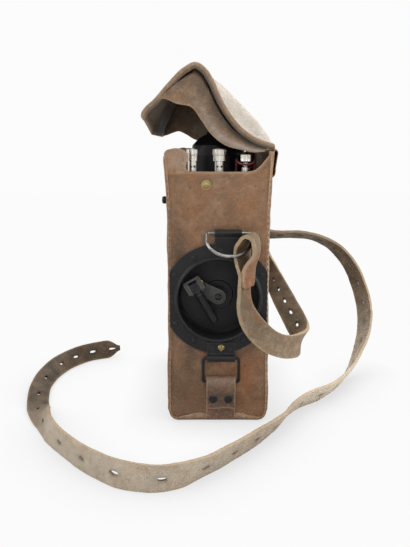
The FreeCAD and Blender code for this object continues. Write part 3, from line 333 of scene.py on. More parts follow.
# %% Shared effects for the materials
def effect(name, takes, **gives):
    """A node group with the named inputs, all numbers but the Vector, and the outputs and their kinds."""
    group = bpy.data.node_groups.new(name, "ShaderNodeTree")
    for label in takes:
        kind = "Vector" if label == "Vector" else "Float"
        group.interface.new_socket(label, in_out="INPUT", socket_type="NodeSocket" + kind)
    for label, kind in gives.items():
        group.interface.new_socket(label, in_out="OUTPUT", socket_type="NodeSocket" + kind)
    return group, group.nodes.new("NodeGroupInput").outputs, group.nodes.new("NodeGroupOutput")


def use(tree, group, inputs=()):
    """Put an effect into a material's tree; the result is its outputs."""
    return node(tree, "Group", inputs, node_tree=group).outputs


patches, into, out = effect("patches", ("Vector", "Scale", "Level", "Softness"), Mask="Float")
noise = node(patches, "TexNoise", {"Vector": into["Vector"], "Scale": into["Scale"], "Detail": 5,
                                   "Roughness": 0.6, "Distortion": 0.4})
low = math(patches, "SUBTRACT", into["Level"], into["Softness"])
high = math(patches, "ADD", into["Level"], into["Softness"])
wire(patches, out, {"Mask": ranged(patches, noise.outputs["Fac"], low, high, kind="SMOOTHSTEP")})


def patchy(tree, where, scale, level, softness):
    """The mask of patches as large as 1 / scale metres, the fewer the higher the level."""
    return use(tree, patches, {"Vector": where, "Scale": scale, "Level": level, "Softness": softness})["Mask"]


grain, into, out = effect("grain", ("Vector", "Scale", "Depth"), Normal="Vector", Height="Float")
cells = node(grain, "TexVoronoi", {"Vector": into["Vector"], "Scale": into["Scale"]}, feature="SMOOTH_F1")
coarse = math(grain, "MULTIPLY", into["Scale"], 0.22)
folds = node(grain, "TexNoise", {"Vector": into["Vector"], "Scale": coarse, "Detail": 6, "Roughness": 0.65})
height = math(grain, "ADD", cells.outputs["Distance"], folds.outputs["Fac"])
bump = node(grain, "Bump", {"Height": height, "Distance": into["Depth"], "Strength": 1})
wire(grain, out, {"Normal": bump.outputs["Normal"], "Height": height})

edges, into, out = effect("worn_edges", ("Vector", "Radius", "Reach"), Mask="Float")
rounded = node(edges, "Bevel", {"Radius": into["Radius"]}, samples=4)
flat = node(edges, "NewGeometry")
match = node(edges, "VectorMath", {0: rounded.outputs["Normal"], 1: flat.outputs["Normal"]},
             operation="DOT_PRODUCT")
turned = math(edges, "SUBTRACT", 1, match.outputs["Value"])
speckle = node(edges, "TexNoise", {"Vector": into["Vector"], "Scale": 260, "Detail": 3})
raised = math(edges, "MULTIPLY", speckle.outputs["Fac"], into["Reach"])
wire(edges, out, {"Mask": ranged(edges, turned, raised, into["Reach"])})

dust, into, out = effect("dust", ("Vector", "Scale", "Amount"), Mask="Float")
facing = node(dust, "SeparateXYZ", {0: node(dust, "NewGeometry").outputs["Normal"]})
motes = node(dust, "TexNoise", {"Vector": into["Vector"], "Scale": into["Scale"], "Detail": 6,
                                "Roughness": 0.7})
settled = math(dust, "MULTIPLY", ranged(dust, facing.outputs["Z"], 0.1), motes.outputs["Fac"])
wire(dust, out, {"Mask": math(dust, "MULTIPLY", settled, into["Amount"])})

# Painted shade with grime: the mask is 1 in narrow gaps, round heads and at steps, where ambient occlusion
# finds surfaces close by.
crevices, into, out = effect("crevices", (), Mask="Float")
shut = node(crevices, "AmbientOcclusion", {"Distance": 0.0016}, samples=6)
wire(crevices, out, {"Mask": ranged(crevices, shut.outputs["AO"], 0.25, 0.75, 1, 0)})


# %% [markdown]
# ## Leather
#
# Old vegetable-tanned leather, once brown, is rubbed pale on its raised parts, grey with dirt where
# hands and straps have lain on it and reddish where the surface has gone. The edges are raw and
# pale, and paler on the case's right-hand corners as a painted highlight. Creases, the grooves under
# the lid's beads and the end walls' side edges get painted shade. The soil mark is dirt on the walls
# and painted shade inside the lid and on the strap's far end; the fade mark is fading on the case and
# the strap and a painted highlight on the top of the lid and the gussets' ridges. The grid pieces
# carry those places as marks on their points.

# %% Leather
def mixed(tree, share, one, two):
    """Colour one where share is 0, colour two where it is 1."""
    pair = [value if isinstance(value, bpy.types.NodeSocket) else (*value, 1) for value in (one, two)]
    return node(tree, "Mix", {"Factor": share, 6: pair[0], 7: pair[1]}, data_type="RGBA").outputs[2]


def scaled(tree, value, factor):
    return math(tree, "MULTIPLY", value, factor, clamp=True)


def leather(name, brown, grey, pale, red, grime_and_shade, soiled, faded_and_highlight_tone, stain_scale=18, grain_depth=0.00035):
    """Aged leather: stains in four tones, scuffs, grime, raw edges, painted shade in creases, and dirt and
    fading that also carry painted shade and highlight.
    """
    material, tree, shader, where = empty_material(name)

    def patch(scale, level, softness, most=1):
        return scaled(tree, patchy(tree, where, stain_scale * scale, level, softness), most)

    def mark(label, most):
        return scaled(tree, node(tree, "Attribute", attribute_name=label).outputs["Fac"], most)

    mottled = ranged(tree, patch(2.6, 0.42, 0.22), to_min=0.55)
    colour = brown
    # The soil tone is dirt and also painted shade, the faded tone is fading and also painted highlight, and
    # the grime tone also paints the shadow mark.
    for share, tone in (
        (patch(1, 0.5, 0.16), grey),
        (patch(1.9, 0.58, 0.18, 0.55), red),
        (mark("red", 0.85), red),
        (patch(5.5, 0.58, 0.14, 0.42), pale),
        (math(tree, "MULTIPLY", mark("sun", 0.95), mottled), faded_and_highlight_tone),
        (mark("soil", 0.97), soiled),
        (patch(30, 0.6, 0.1, 0.25), pale),
        (patch(12, 0.66, 0.05, 0.5), grime_and_shade),
        (mark("stain", 0.9), grime_and_shade),
        (mark("shadow", 0.9), grime_and_shade),
        (mark("rim", 0.85), pale),
    ):
        colour = mixed(tree, share, colour, tone)
    fine = use(tree, grain, {"Vector": where, "Scale": 1150, "Depth": grain_depth})
    shade = ranged(tree, fine["Height"], 0.4, 1.3, 0.72, 1.12)
    lit = node(tree, "VectorMath", {0: colour, 3: shade}, operation="SCALE").outputs["Vector"]
    rough = ranged(tree, patch(3, 0.5, 0.2), to_min=0.52, to_max=0.8)
    wire(tree, shader, {"Base Color": lit, "Roughness": rough, "Normal": fine["Normal"],
                        "Specular IOR Level": 0.25})
    return material


case_leather = leather(
    "case_leather", (0.245, 0.132, 0.07), (0.128, 0.084, 0.055), (0.36, 0.235, 0.145),
    (0.29, 0.118, 0.046), (0.03, 0.022, 0.016), (0.078, 0.052, 0.034), (0.52, 0.44, 0.34))
lid_leather = leather(
    "lid_leather", (0.2, 0.128, 0.078), (0.12, 0.086, 0.058), (0.39, 0.28, 0.185),
    (0.26, 0.13, 0.062), (0.022, 0.017, 0.013), (0.1, 0.079, 0.062), (0.5, 0.455, 0.4),
    stain_scale=26)
strap_leather = leather(
    "strap_leather", (0.215, 0.148, 0.084), (0.16, 0.12, 0.076), (0.4, 0.3, 0.188),
    (0.23, 0.088, 0.034), (0.028, 0.021, 0.015), (0.046, 0.034, 0.024), (0.64, 0.57, 0.47),
    stain_scale=34, grain_depth=0.0003)
tab_leather = leather(
    "tab_leather", (0.15, 0.085, 0.052), (0.098, 0.066, 0.047), (0.33, 0.235, 0.16),
    (0.19, 0.078, 0.042), (0.028, 0.021, 0.016), (0.06, 0.042, 0.03), (0.33, 0.245, 0.18),
    stain_scale=60)

# %% [markdown]
# ## The case's strip
#
# One long strip of leather makes both sides and the bottom. It is bent round the bottom edges and
# its long edges are moulded round the corners, where the end walls are stitched in. The outline is a
# U in X and Z. Towards each end it shrinks inwards by d along its own normals while y follows the
# corner's quarter circle of 6 mm: y = 91.5 + sqrt(36 - (6 - d)²).

# %% The case's strip
HALF_W, HALF_L, CORNER_R, BOTTOM_R, LEATHER = 45.5, 97.5, 6, 9, 3.5
STRAIGHT_L = HALF_L - CORNER_R
CASE_MIDDLE = (0, 0, 120)


def bulge(heights):
    """How far the sides stand out: flared at the mouth and a little sagged near the bottom."""
    return 3 * ramp(heights, 185, 70) + 1.1 * bell(heights - 30, 34)


def u_profile():
    """The U from the left mouth, round the bottom, to the right mouth: x, z."""
    arc = np.linspace(np.pi, 1.5 * np.pi, 12)
    turn = np.column_stack([BOTTOM_R - HALF_W + BOTTOM_R * np.cos(arc), BOTTOM_R + BOTTOM_R * np.sin(arc)])
    heights = np.linspace(250, BOTTOM_R + 1, 110)
    left = np.column_stack([-HALF_W - bulge(heights), heights])
    half = np.vstack([left, turn, [[-30, 0], [-15, 0]]])
    return np.vstack([half, half[::-1] * [-1, 1]])


def strip_points():
    """Rows run from the crank end to the far end, columns along the U."""
    outline = u_profile()
    steps = lengths(outline)
    d = np.concatenate([np.linspace(0, 1, 9)[:-1], np.ones(62), np.linspace(1, 0, 9)[1:]])[:, None]
    end = np.repeat([-1, 1], len(d) // 2)
    straight = np.concatenate([np.full(8, -STRAIGHT_L), np.linspace(-STRAIGHT_L, STRAIGHT_L, 62),
                               np.full(8, STRAIGHT_L)])
    left_top = 206 + np.where(end < 0, 36.5, 14) * ramp(np.abs(straight), 80, 11.5)
    start = np.interp(-left_top, -outline[:40, 1], steps[:40])[:, None]
    stop = steps[-1] - np.interp(-246.6, -outline[:40, 1], steps[:40])
    at = start + (stop - start) * np.linspace(0, 1, 360)
    x = np.interp(at, steps, outline[:, 0])
    z = np.interp(at, steps, outline[:, 1])
    slope = np.gradient(outline, steps, axis=0)
    normal_x = -np.interp(at, steps, slope[:, 1])
    normal_z = np.interp(at, steps, slope[:, 0])
    low = smoothstep((46 - np.abs(at - steps[-1] / 2)) / 24)
    wave = 0.7 * np.sin(at / 5.3) + 0.4 * np.sin(at / 2.9 + 1)
    inset = (1 - d) * (3 + (5 + wave) * low)
    rounding = np.sqrt(np.maximum(CORNER_R**2 - (CORNER_R - np.minimum(inset, CORNER_R)) ** 2, 0))
    y = straight[:, None] + end[:, None] * np.where(d < 1, rounding, 0)
    points = np.stack([x + normal_x * inset, y, z + normal_z * inset], axis=-1)
    outward = np.stack([-normal_x, np.zeros_like(x), -normal_z], axis=-1)
    uneven = 0.35 * ripple(points, 45, 3) + 0.12 * ripple(points, 12, 4)
    lift = np.clip(points[..., 2] / 12, 0, 1) * d
    points = points + outward * (uneven * lift)[..., None]
    points[..., 2] = np.maximum(points[..., 2], 0.02)
    # The rim is fuller on the right-hand corners than on the left: a painted highlight there, on top of the
    # pale raw edge.
    rim = smoothstep((1 - d) * 1.3 - 0.3) * (0.55 + 0.45 * smoothstep(x / 20))
    top = np.clip(1 - np.minimum(at - start, stop - at) / 3, 0, 1)
    scuffed = 0.5 + 0.5 * ripple(points, 5, 5)
    # The faded tone near the bottom is wear; the line below adds a painted highlight down the right-hand
    # corners.
    sun = smoothstep((1 - d) * 1.2 - 0.1) * low * (0.35 + 0.65 * scuffed)
    line = bell(points[..., 2] - 118, 58) * (x > 0) * smoothstep((1 - d) * 1.5)
    return points, {"rim": np.maximum(rim, top), "sun": np.maximum(sun, 0.85 * line),
                    "stain": 0.25 * bell(points[..., 2], 16)}


points, marks = strip_points()
strip = surface("case_strip_leather", points, CASE_MIDDLE, **marks)
thicken(strip, LEATHER, 0.9)
place(strip, "case", case_leather, "worn_leather", "case_strip")

# %% [markdown]
# ## End walls
#
# Each end wall is a flat blank let in behind the strip's moulded edges. It is a ring of radial lines
# from the well's hole to the blank's outline. The mouth is cut low between a round lug at the left
# and a rise to the hinge at the right; the lug hangs over, so it is a small grid of its own between
# its two side curves, welded to the ring along the mouth's line.

# %% End walls
WELL_Z = 116.5
MOUTH_Z = 229.3
LUG_SIDE = [(-44.4, MOUTH_Z), (-45.2, 234), (-46.2, 238), (-47.3, 241.8), (-47.4, 245.2), (-45.4, 247.8)]
LUG_EDGE = [(-25.6, MOUTH_Z), (-28.4, 231.8), (-28.3, 236), (-26.3, 240.4), (-26.8, 244.4),
            (-31, 248.2), (-38, 249.5), (-45.4, 247.8)]
NEAR_RISE = [(25, MOUTH_Z), (31, 230.6), (36, 234.2), (41, 239.6), (45.4, 245.4)]
FAR_RISE = [(19, MOUTH_Z), (24.5, 235), (29.5, 241.5), (34.5, 245.6), (45.4, 246.6)]


def wall_outline(near):
    """Closed outline from the lug's base, down the left, along the bottom, up and back."""
    heights = np.linspace(MOUTH_Z, 10, 80)
    left = np.column_stack([-43.4 - 1.04 * ramp(heights, 185, 70), heights])
    across = np.linspace(-41.5, 41.5, 42)
    bottom = np.column_stack([across, 3 + 5 * (np.abs(across) / 41.5) ** 12])
    right = left[::-1] * [-1, 1]
    right[-1] = (45.4, 240)
    rise = spline(NEAR_RISE if near else FAR_RISE, 16)[::-1]
    flat = np.column_stack([np.linspace(rise[-1, 0] - 1.5, -25.6, 28), np.full(28, MOUTH_Z)])
    base = np.column_stack([np.linspace(-25.6, -44.4, 13), np.full(13, MOUTH_Z)])[1:-1]
    return np.vstack([left, bottom, right, rise, flat, base])


def wall_points(x, z, near):
    """Points of the outer face, which bellies out at the middle and is drawn in at its edges."""
    belly = smoothstep(np.minimum((44.5 - np.abs(x)) / 7, (z - 3) / 9))
    points = np.stack([x, np.full_like(x, 97 if near else -97), z], axis=-1)
    waves = 0.3 * ripple(points, 40, 8) + 0.1 * ripple(points, 11, 9)
    flange = ramp(np.hypot(x, z - WELL_Z), 52, 12) if near else 1
    depth = 96.3 + belly * (1.15 + waves * flange - 0.5 * ramp(z, 205, 25))
    return np.stack([x, depth * (-1 if near else 1), z], axis=-1)


def end_wall(name, near, hole):
    """The ring round the hole and the lug, as one mesh."""
    outline = wall_outline(near)
    angle = np.arctan2(outline[:, 1] - WELL_Z, outline[:, 0])
    inner = np.column_stack([hole * np.cos(angle), WELL_Z + hole * np.sin(angle)])
    t = np.linspace(0, 1, 60)[:, None, None]
    x, z = np.moveaxis(inner * (1 - t) + outline * t, -1, 0)
    ring = wall_points(x, z, near)
    streak = 0.5 + 0.5 * ripple(ring * [1, 1, 0.25], 16, 12)
    halo = bell(np.hypot(x, z - WELL_Z) - 52, 9) * near
    left_mid = bell(x + 40, 12) * bell(z - 165, 40)
    left_low = bell(x + 30, 22) * bell(z - 40, 34)
    wall = surface(
        name, ring, CASE_MIDDLE, wrap=True,
        rim=ramp(z, 226.3, 2.5) * bell((1 - t[..., 0]) * 60, 2),
        stain=np.clip(0.4 * halo * streak + 0.12 * bell(z - 20, 34), 0, 1),
        shadow=0.6 * bell(44.6 - np.abs(x), 1.6) * (z < 240),
        soil=np.clip((0.9 * left_mid + 0.95 * left_low) * (0.35 + 0.65 * streak), 0, 1),
        red=bell(x - 26, 20) * bell(z - 42, 30) * (0.5 + 0.5 * streak))
    left, right = spline(LUG_SIDE, 16), spline(LUG_EDGE, 16)
    s = np.linspace(0, 1, 13)[None, :, None]
    x, z = np.moveaxis(right[:, None] * (1 - s) + left[:, None] * s, -1, 0)
    lug = surface("lug", wall_points(x, z, near), CASE_MIDDLE, rim=bell(s[..., 0] * 13, 1.5) + 0 * x,
                  sun=0.35 * ramp(z, 228, 8))
    with bpy.context.temp_override(active_object=wall, selected_editable_objects=[wall, lug]):
        bpy.ops.object.join()
    weld(wall, 0.05)
    return wall


for name, near, hole, node_name in (("crank_end_leather", True, 37.4, "crank_end_wall"),
                                    ("far_end_leather", False, 0, "far_end_wall")):
    wall = end_wall(name, near, hole)
    thicken(wall, LEATHER - 0.3, 0.7)
    place(wall, "case", case_leather, "worn_leather", node_name)

# %% [markdown]
# ## Hinge strip
#
# A narrow strip of leather is sewn along the outside of the hinge wall. The lid folds on it, so on
# the real case its lower part stays with the case and its upper edge follows the lid; here it is
# given to neither body.

# %% Hinge strip
HINGE_HALF_L = 91
HINGE_SECTION = [(46.3, 224), (48.2, 225), (49.8, 233), (51, 242), (51.2, 247), (49.6, 248.4),
                 (48.6, 247), (47, 232), (45.6, 224.5)]

x, z = spline(HINGE_SECTION, 26).T
x, z, y = np.broadcast_arrays(x, z, np.linspace(-HINGE_HALF_L, HINGE_HALF_L, 70)[:, None])
points = np.stack([x, y, z], axis=-1)
points[..., 0] += 0.18 * ripple(points, 14, 31)
hinge = surface("hinge_strip_leather", points, (48.6, 0, 238),
                rim=np.maximum(bell(HINGE_HALF_L - np.abs(y), 3), bell(z - 225, 1.5)))
thicken(hinge, 0.6, 0, offset=0)
place(hinge, None, case_leather, "worn_leather", "hinge_strip")
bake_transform(hinge)

# %% [markdown]
# ## The lid
#
# The lid is one stiff piece of leather, dented at the crank end and curled by age. Its section is a
# closed line of (y, distance from the lid's outer line): flat outside and inside, with a rolled bead
# at each sewn edge. That section is carried along the lid's line. At the crank end the line itself is
# the dented one, and it changes to the full one over 20 mm.

# %% The lid
DENTED = [(49.5, 250.8), (37, 254.5), (20, 264.5), (9, 277), (0.5, 291), (-6.5, 306),
          (-12, 314.5), (-20, 319.8), (-28.5, 316), (-42, 303.5), (-54.5, 289.5),
          (-64, 280.5), (-67, 274)]
FULL = [(49.5, 250.8), (44, 262), (33.5, 276), (22, 287.5), (9.5, 299.5), (-3, 309.5),
        (-12, 315), (-21, 318), (-30, 314), (-43, 300), (-53, 284),
        (-60, 270), (-61.5, 261.5)]
LID_LEATHER = 3
ALONG = 150


def lid_at(y, off):
    """Points of the lid at depth y and distance off outside its line: one row for each step along."""
    share = 1 - smoothstep((y + 86.6) / 20.6)[None, :, None]
    dented, full = spline(DENTED, ALONG)[:, None], spline(FULL, ALONG)[:, None]
    line = dented * share + full * (1 - share)
    along = unit(np.gradient(line, axis=0))
    x = line[..., 0] + along[..., 1] * off
    z = line[..., 1] - along[..., 0] * off
    return np.stack([x, np.broadcast_to(y, x.shape), z], axis=-1)


def bead(centre_y, away):
    """Half turn of the rolled edge, from the outer face round to the inner one."""
    turn = np.linspace(np.pi / 2, -np.pi / 2, 11)
    return np.column_stack([centre_y + away * 2.4 * np.cos(turn), -0.7 + 2.9 * np.sin(turn)])


def lid_section():
    """Closed (y, off) line of the panel."""
    flat_y = np.linspace(-84, 84, 66)
    near_shoulder = np.array([(-86.5, 0.15), (-88, 0.9), (-89.3, 1.8)])
    far_shoulder = near_shoulder[::-1] * [-1, 1]
    outer = np.column_stack([flat_y, 0 * flat_y])
    inner = np.column_stack([flat_y[::-1], np.full(66, -LID_LEATHER)])
    return np.vstack([outer, far_shoulder, bead(90.3, 1), inner, bead(-90.3, -1)[::-1],
                      near_shoulder])


y, off = lid_section().T
taper = np.ones(ALONG)
taper[-6:] = np.sqrt(np.maximum(1 - np.linspace(0, 1, 6) ** 2, 0))
taper[:4] = np.sqrt(np.maximum(1 - np.linspace(1, 0, 4) ** 2, 0))
taper = taper[:, None]
core = lid_at(y, np.full_like(off, -LID_LEATHER / 2))
points = core + (lid_at(y, off) - core) * taper[..., None]
outer_side = smoothstep((off + 1.5) / 1)[None, :] + 0 * taper
normal = points - core
normal /= np.maximum(np.linalg.norm(normal, axis=2), 1e-6)[..., None]
hollow = 0.5 * ripple(core, 55, 21) + 0.22 * ripple(core, 18, 22)
away_from_edge = smoothstep((88 - np.abs(y)) / 20)[None, :]
direction = np.where(outer_side[..., None] > 0.5, normal, -normal)
points = points + direction * (hollow * away_from_edge * taper)[..., None]
along_share = np.linspace(0, 1, ALONG)[:, None]
bead_mark = bell(np.abs(y) - 91.6, 2.2) * outer_side
tip = bell(1 - along_share, 0.015) + 0 * outer_side
# Painted highlight: the outer face over the first 60% of the line, the top of the lid, gets the pale faded
# tone.
sun = outer_side * smoothstep((0.6 - along_share) / 0.05) * smoothstep((89.5 - np.abs(y)) / 2)[None, :]
# The inner face gets the dark soil tone: painted shade inside the lid.
panel = surface("lid_leather_panel", points, (0, 0, 290), wrap=True,
                rim=np.maximum(bead_mark * 0.35, tip * 0.7), soil=0.8 * (1 - outer_side), sun=sun)
weld(panel, 0.02)
place(panel, "lid", lid_leather, "pale_leather", "lid_panel", "lid_welts")

# %% [markdown]
# ## Gussets
#
# The lid's ends are closed by gussets, sewn under the bead and curled outwards along their free
# edge. Each is a grid between the lid's inner line and its own lower line. It starts deep under the
# bead, which leaves a groove that is painted dark as shade, and swells towards the free edge, where
# the ridge is painted paler as a highlight.

# %% Gussets
NEAR_LOW = [(-51.5, 291.5), (-46.3, 291), (-36.5, 287), (-24, 284.2), (-15, 272.7),
            (-6.4, 261), (6.7, 251.4), (19.8, 248), (30, 245.8), (40, 246.5)]
FAR_LOW = [(-60.6, 262.2), (-55.5, 263.2), (-49, 265.6), (-42, 267.6), (-34, 264.6), (-25.6, 259.5),
           (-5, 254), (20, 250), (38, 247.6)]
GUSSET_Y = 90


def gusset(name, end, low, tip_row, sunk, swollen):
    """Rows run along the lid's line, columns from the seam to the curled free edge.

    Across the piece the depth goes from sunk at the seam to 92.8 at the share swollen. Close to the
    hinge the near one starts shallower, clear of the third screw when the lid is shut.
    """
    seam = lid_at(np.array([end * GUSSET_Y]), np.array([0.4 - LID_LEATHER]))[6:tip_row]
    rows = len(seam)
    x, z = spline(low, rows)[::-1].T
    free = np.stack([x, np.full(rows, end * GUSSET_Y), z], axis=-1)[:, None]
    row_share = np.linspace(0, 1, rows)[:, None]
    s = np.linspace(0, 1, 26)[None, :]
    grid = seam * (1 - s[..., None]) + free * s[..., None]
    if end < 0:
        sunk = 90.5 + (sunk - 90.5) * ramp(row_share, 0.18, 0.12)
    depth = sunk + (92.8 - sunk) * smoothstep((s - 0.01) / swollen) - 0.3 * ramp(s, 0.86, 0.14)
    shallow = np.clip(np.linalg.norm(free - seam, axis=2) / 14, 0, 1)
    grid[..., 1] = end * (GUSSET_Y + (depth - GUSSET_Y) * shallow)
    grid[..., 1] += 0.35 * ripple(grid, 22, 41) * (1 - 0.75 * s)
    hinge_share = smoothstep(1.25 - row_share * 1.5)
    groove = (1 - ramp(s, 0.24, 0.36)) * (0.25 + 0.75 * hinge_share)
    edge = ramp(s, 0.93, 0.07) + 0 * row_share
    # Painted shade in the groove under the bead; a painted highlight on the swollen ridge near the free edge,
    # through the fade mark.
    piece = surface(name, grid, (0, 0, 280), rim=0.6 * edge, shadow=groove,
                    sun=0.55 * bell(s - 0.8, 0.17) * hinge_share, soil=0.35 * (1 - hinge_share) * (1 - s))
    thicken(piece, 2.1, 0.7, even=False)
    place(piece, "lid", lid_leather, "pale_leather", "lid_gussets")


gusset("crank_end_gusset", -1, NEAR_LOW, 118, 84, 0.2)
gusset("far_end_gusset", 1, FAR_LOW, 147, 88.8, 0.4)

# %% [markdown]
# ## Tab
#
# The leather tab comes from under the case, lies up the end wall and folds round the link's lower
# bar, where two rivets hold its end. Its side view is one line that is given its thickness.

# %% Tab
TAB_X, TAB_HALF_W, BAR_Y, BAR_Z, FOLD_R = 2.5, 13.2, -101.4, 40.5, 3.8
turn = np.linspace(-0.15, 1.12, 18) * np.pi
loop = np.column_stack([BAR_Y + FOLD_R * np.cos(turn), BAR_Z + FOLD_R * np.sin(turn)])
side_y, side_z = spline(np.vstack([[(-98.7, 4.6), (-98.8, 12), (-98.8, 22), (-98.4, 30)], loop,
                                   [(-103.4, 32.5), (-101.6, 27), (-101.2, 20), (-101, 14.6)]]), 96).T
across = np.linspace(-1, 1, 22)[None, :]
side_y, side_z = side_y[:, None] + 0 * across, side_z[:, None] + 0 * across
x = TAB_X + TAB_HALF_W * across * (1 - 0.012 * ramp(side_z, 30, 20))
points = np.stack([x, side_y, side_z], axis=-1)
points[..., 1] += 0.15 * ripple(points, 9, 51) * (side_z < 30)
points[-6:, :, 2] += 0.5 * np.sin(across * 4 + 0.5)
share = np.linspace(0, 1, 96)[:, None]
tab = surface("tab_leather", points, (TAB_X, -99.9, 20),
              rim=np.maximum(bell(1 - np.abs(across), 0.05), bell(1 - share, 0.015)),
              stain=0.4 * bell(side_z - 24, 7), sun=0.45 * bell(side_z - 42, 5))
thicken(tab, 2.3, 0.6, offset=0)
place(tab, "case", tab_leather, "worn_leather", "bottom_tab")

# %% [markdown]
# ## Shoulder strap
#
# A strap of 21 mm by 3 mm runs from the ring at the crank end, where its tail is turned through the
# ring and stitched down, round the side of the case to the ring at the far end, and on along the
# ground. It has lengthwise slits in groups. The grid follows the strap's middle line; each station
# gives the middle and the direction of the upper edge. On the ground the strap stands on its edge,
# so its middle is as high as its tilted half width.

# %% Shoulder strap
LAID = -1
STATIONS = [
    (25.3, -114, 131, 0.5, 0.86, 0), (25.4, -114, 138, 0.5, 0.86, 0), (25.9, -114, 145, 0.5, 0.86, 0),
    (28.8, -114.2, 152.5, 0.4, 0.92, 0), (32.2, -115.5, 160, 0.28, 0.96, 0),
    (32.2, -116.5, 167.5, 0.28, 0.96, 0), (30.2, -116.8, 173.5, 0.32, 0.95, 0),
    (26, -116.8, 176.4, 0.36, 0.93, 0), (21.8, -113, 171.5, 0.52, 0.85, 0),
    (20.6, -108, 163, 0.66, 0.75, 0), (20.4, -108.4, 158.5, 0.66, 0.75, 0),
    (20.9, -111, 151, 0.58, 0.81, 0), (22.2, -113.2, 141, 0.48, 0.88, 0),
    (21.9, -113.8, 130, 0.46, 0.88, 0.1), (22.6, -114.5, 115, 0.54, 0.79, 0.25),
    (27.5, -115.5, 101.5, 0.66, 0.55, 0.45), (36, -117, 90.5, 0.6, 0.32, 0.68),
    (47, -118, 82, 0.38, 0.22, 0.88), (59, -117, 78, 0.18, 0.15, 0.97), (68.5, -112, 77.5, 0, 0, 1),
    (74, -103.5, 79.5, 0.3, 0.05, 0.95), (75, -91, 84, 0.6, 0.1, 0.79), (72.5, -74, 90.5, 0.8, 0.1, 0.59),
    (67.5, -50, 99.5, 0.84, 0.05, 0.53), (63, -20, 108, 0.78, 0, 0.62), (60, 14, 114, 0.62, 0, 0.78),
    (58, 48, 119, 0.42, 0, 0.91), (56.5, 78, 126, 0.24, -0.05, 0.97), (55, 97, 134, 0.12, -0.1, 0.99),
    (49, 107.5, 142.5, 0.22, -0.1, 0.96), (39.5, 109, 149.5, 0.48, -0.25, 0.82),
    (28.5, 106.9, 155.7, 0.57, -0.41, 0.71), (22.1, 105, 160.1, 0.57, -0.41, 0.71),
    (18.7, 108.4, 165.2, 0.57, -0.41, 0.71), (22.1, 114.4, 165.6, 0.57, -0.41, 0.71),
    (28.5, 117.2, 161.4, 0.57, -0.41, 0.71), (40, 119.5, 155, 0.4, -0.52, 0.72),
    (54, 120.5, 149.5, 0.2, -0.72, 0.65), (70, 120, 147.5, 0.05, -0.85, 0.5),
    (87, 120, 147.6, 0, -0.9, 0.43), (103, 120, 147, 0, -0.9, 0.43), (122, 119, 143.5, 0.05, -0.9, 0.42),
    (138.5, 116, 135.5, 0.2, -0.86, 0.42), (152, 110, 123.5, 0.35, -0.82, 0.42),
    (161.5, 103, 109.5, 0.45, -0.78, 0.4), (168.5, 94, 92, 0.52, -0.74, 0.4),
    (172.5, 83, 73.5, 0.55, -0.72, 0.4), (172.5, 71, 55.5, 0.55, -0.7, 0.45),
    (168, 58.5, 38.5, 0.52, -0.62, 0.58), (160, 45, 24, 0.48, -0.5, 0.72),
    (150, 27, 13.5, 0.46, -0.38, 0.8), (138.5, 6, LAID, 0.46, -0.33, 0.83),
    (128, -15, LAID, 0.45, -0.33, 0.83), (107, -45, LAID, 0.44, -0.33, 0.83),
    (84, -66, LAID, 0.44, -0.36, 0.83), (69.5, -87.5, LAID, 0.44, -0.34, 0.83),
    (52.5, -124, LAID, 0.42, -0.28, 0.86), (37.5, -147, LAID, 0.38, -0.24, 0.89),
    (5, -189.5, LAID, 0.28, -0.22, 0.93), (-14.5, -211, LAID, 0.2, -0.26, 0.94),
    (-31, -224, LAID, 0.05, -0.12, 0.99), (-46, -228.5, LAID, 0, 0, 1), (-60, -227.5, LAID, 0, 0.12, 0.99),
    (-74, -222, LAID, 0.05, 0.22, 0.97), (-97.5, -204.5, LAID, 0.08, 0.1, 0.99),
    (-125, -173.5, LAID, 0.05, 0.04, 0.99), (-146, -141, LAID, 0.2, 0.1, 0.97),
    (-158, -113, LAID, 0.48, 0.2, 0.85), (-166.5, -90, LAID, 0.8, 0.28, 0.5),
    (-173.5, -68, LAID, 0.93, 0.25, 0.1), (-179.5, -42, LAID, 0.95, 0.15, -0.22),
    (-183, -12, LAID, 0.9, 0.05, -0.42), (-181.5, 20, LAID, 0.82, -0.1, -0.56),
    (-175, 48, LAID, 0.68, -0.22, -0.7), (-163.5, 70, LAID, 0.45, -0.28, -0.84),
    (-150, 86, LAID, 0.2, -0.25, -0.94), (-132, 98, LAID, 0.08, -0.25, -0.96),
    (-115.5, 105, LAID, 0.05, -0.2, -0.97),
]
STRAP_W, STRAP_T = 21, 3
HALF_STRAP = STRAP_W / 2
SLIT_HALF_L, SLIT_HALF_W = 4.4, 1.35
COUNT = 900
# Groups of slits: first, last, how many. Dirt and fading: distance along the strap, share; the dirt
# also stands for painted shade on the far end of the strap.
SLITS = [(197, 259, 4), (284, 499, 9), (526, 720, 9), (752, 1011, 9), (1046, 1197, 5), (1248, 1422, 5),
         (1448, 1498, 3)]
SOILED_AND_SHADED = [(0, 0.1), (60, 0.3), (120, 0.6), (165, 0.05), (192, 0.15), (215, 0.8), (420, 0.95), (505, 0.92),
          (600, 0.95), (680, 0.35), (745, 0.05), (1060, 0), (1230, 0.1), (1310, 0.95), (1507, 1)]
FADED = [(0, 0), (140, 0), (170, 0.12), (220, 0), (640, 0), (690, 0.45), (780, 0.95), (880, 0.75),
         (960, 0.32), (1080, 0.5), (1220, 0.55), (1300, 0), (1507, 0)]


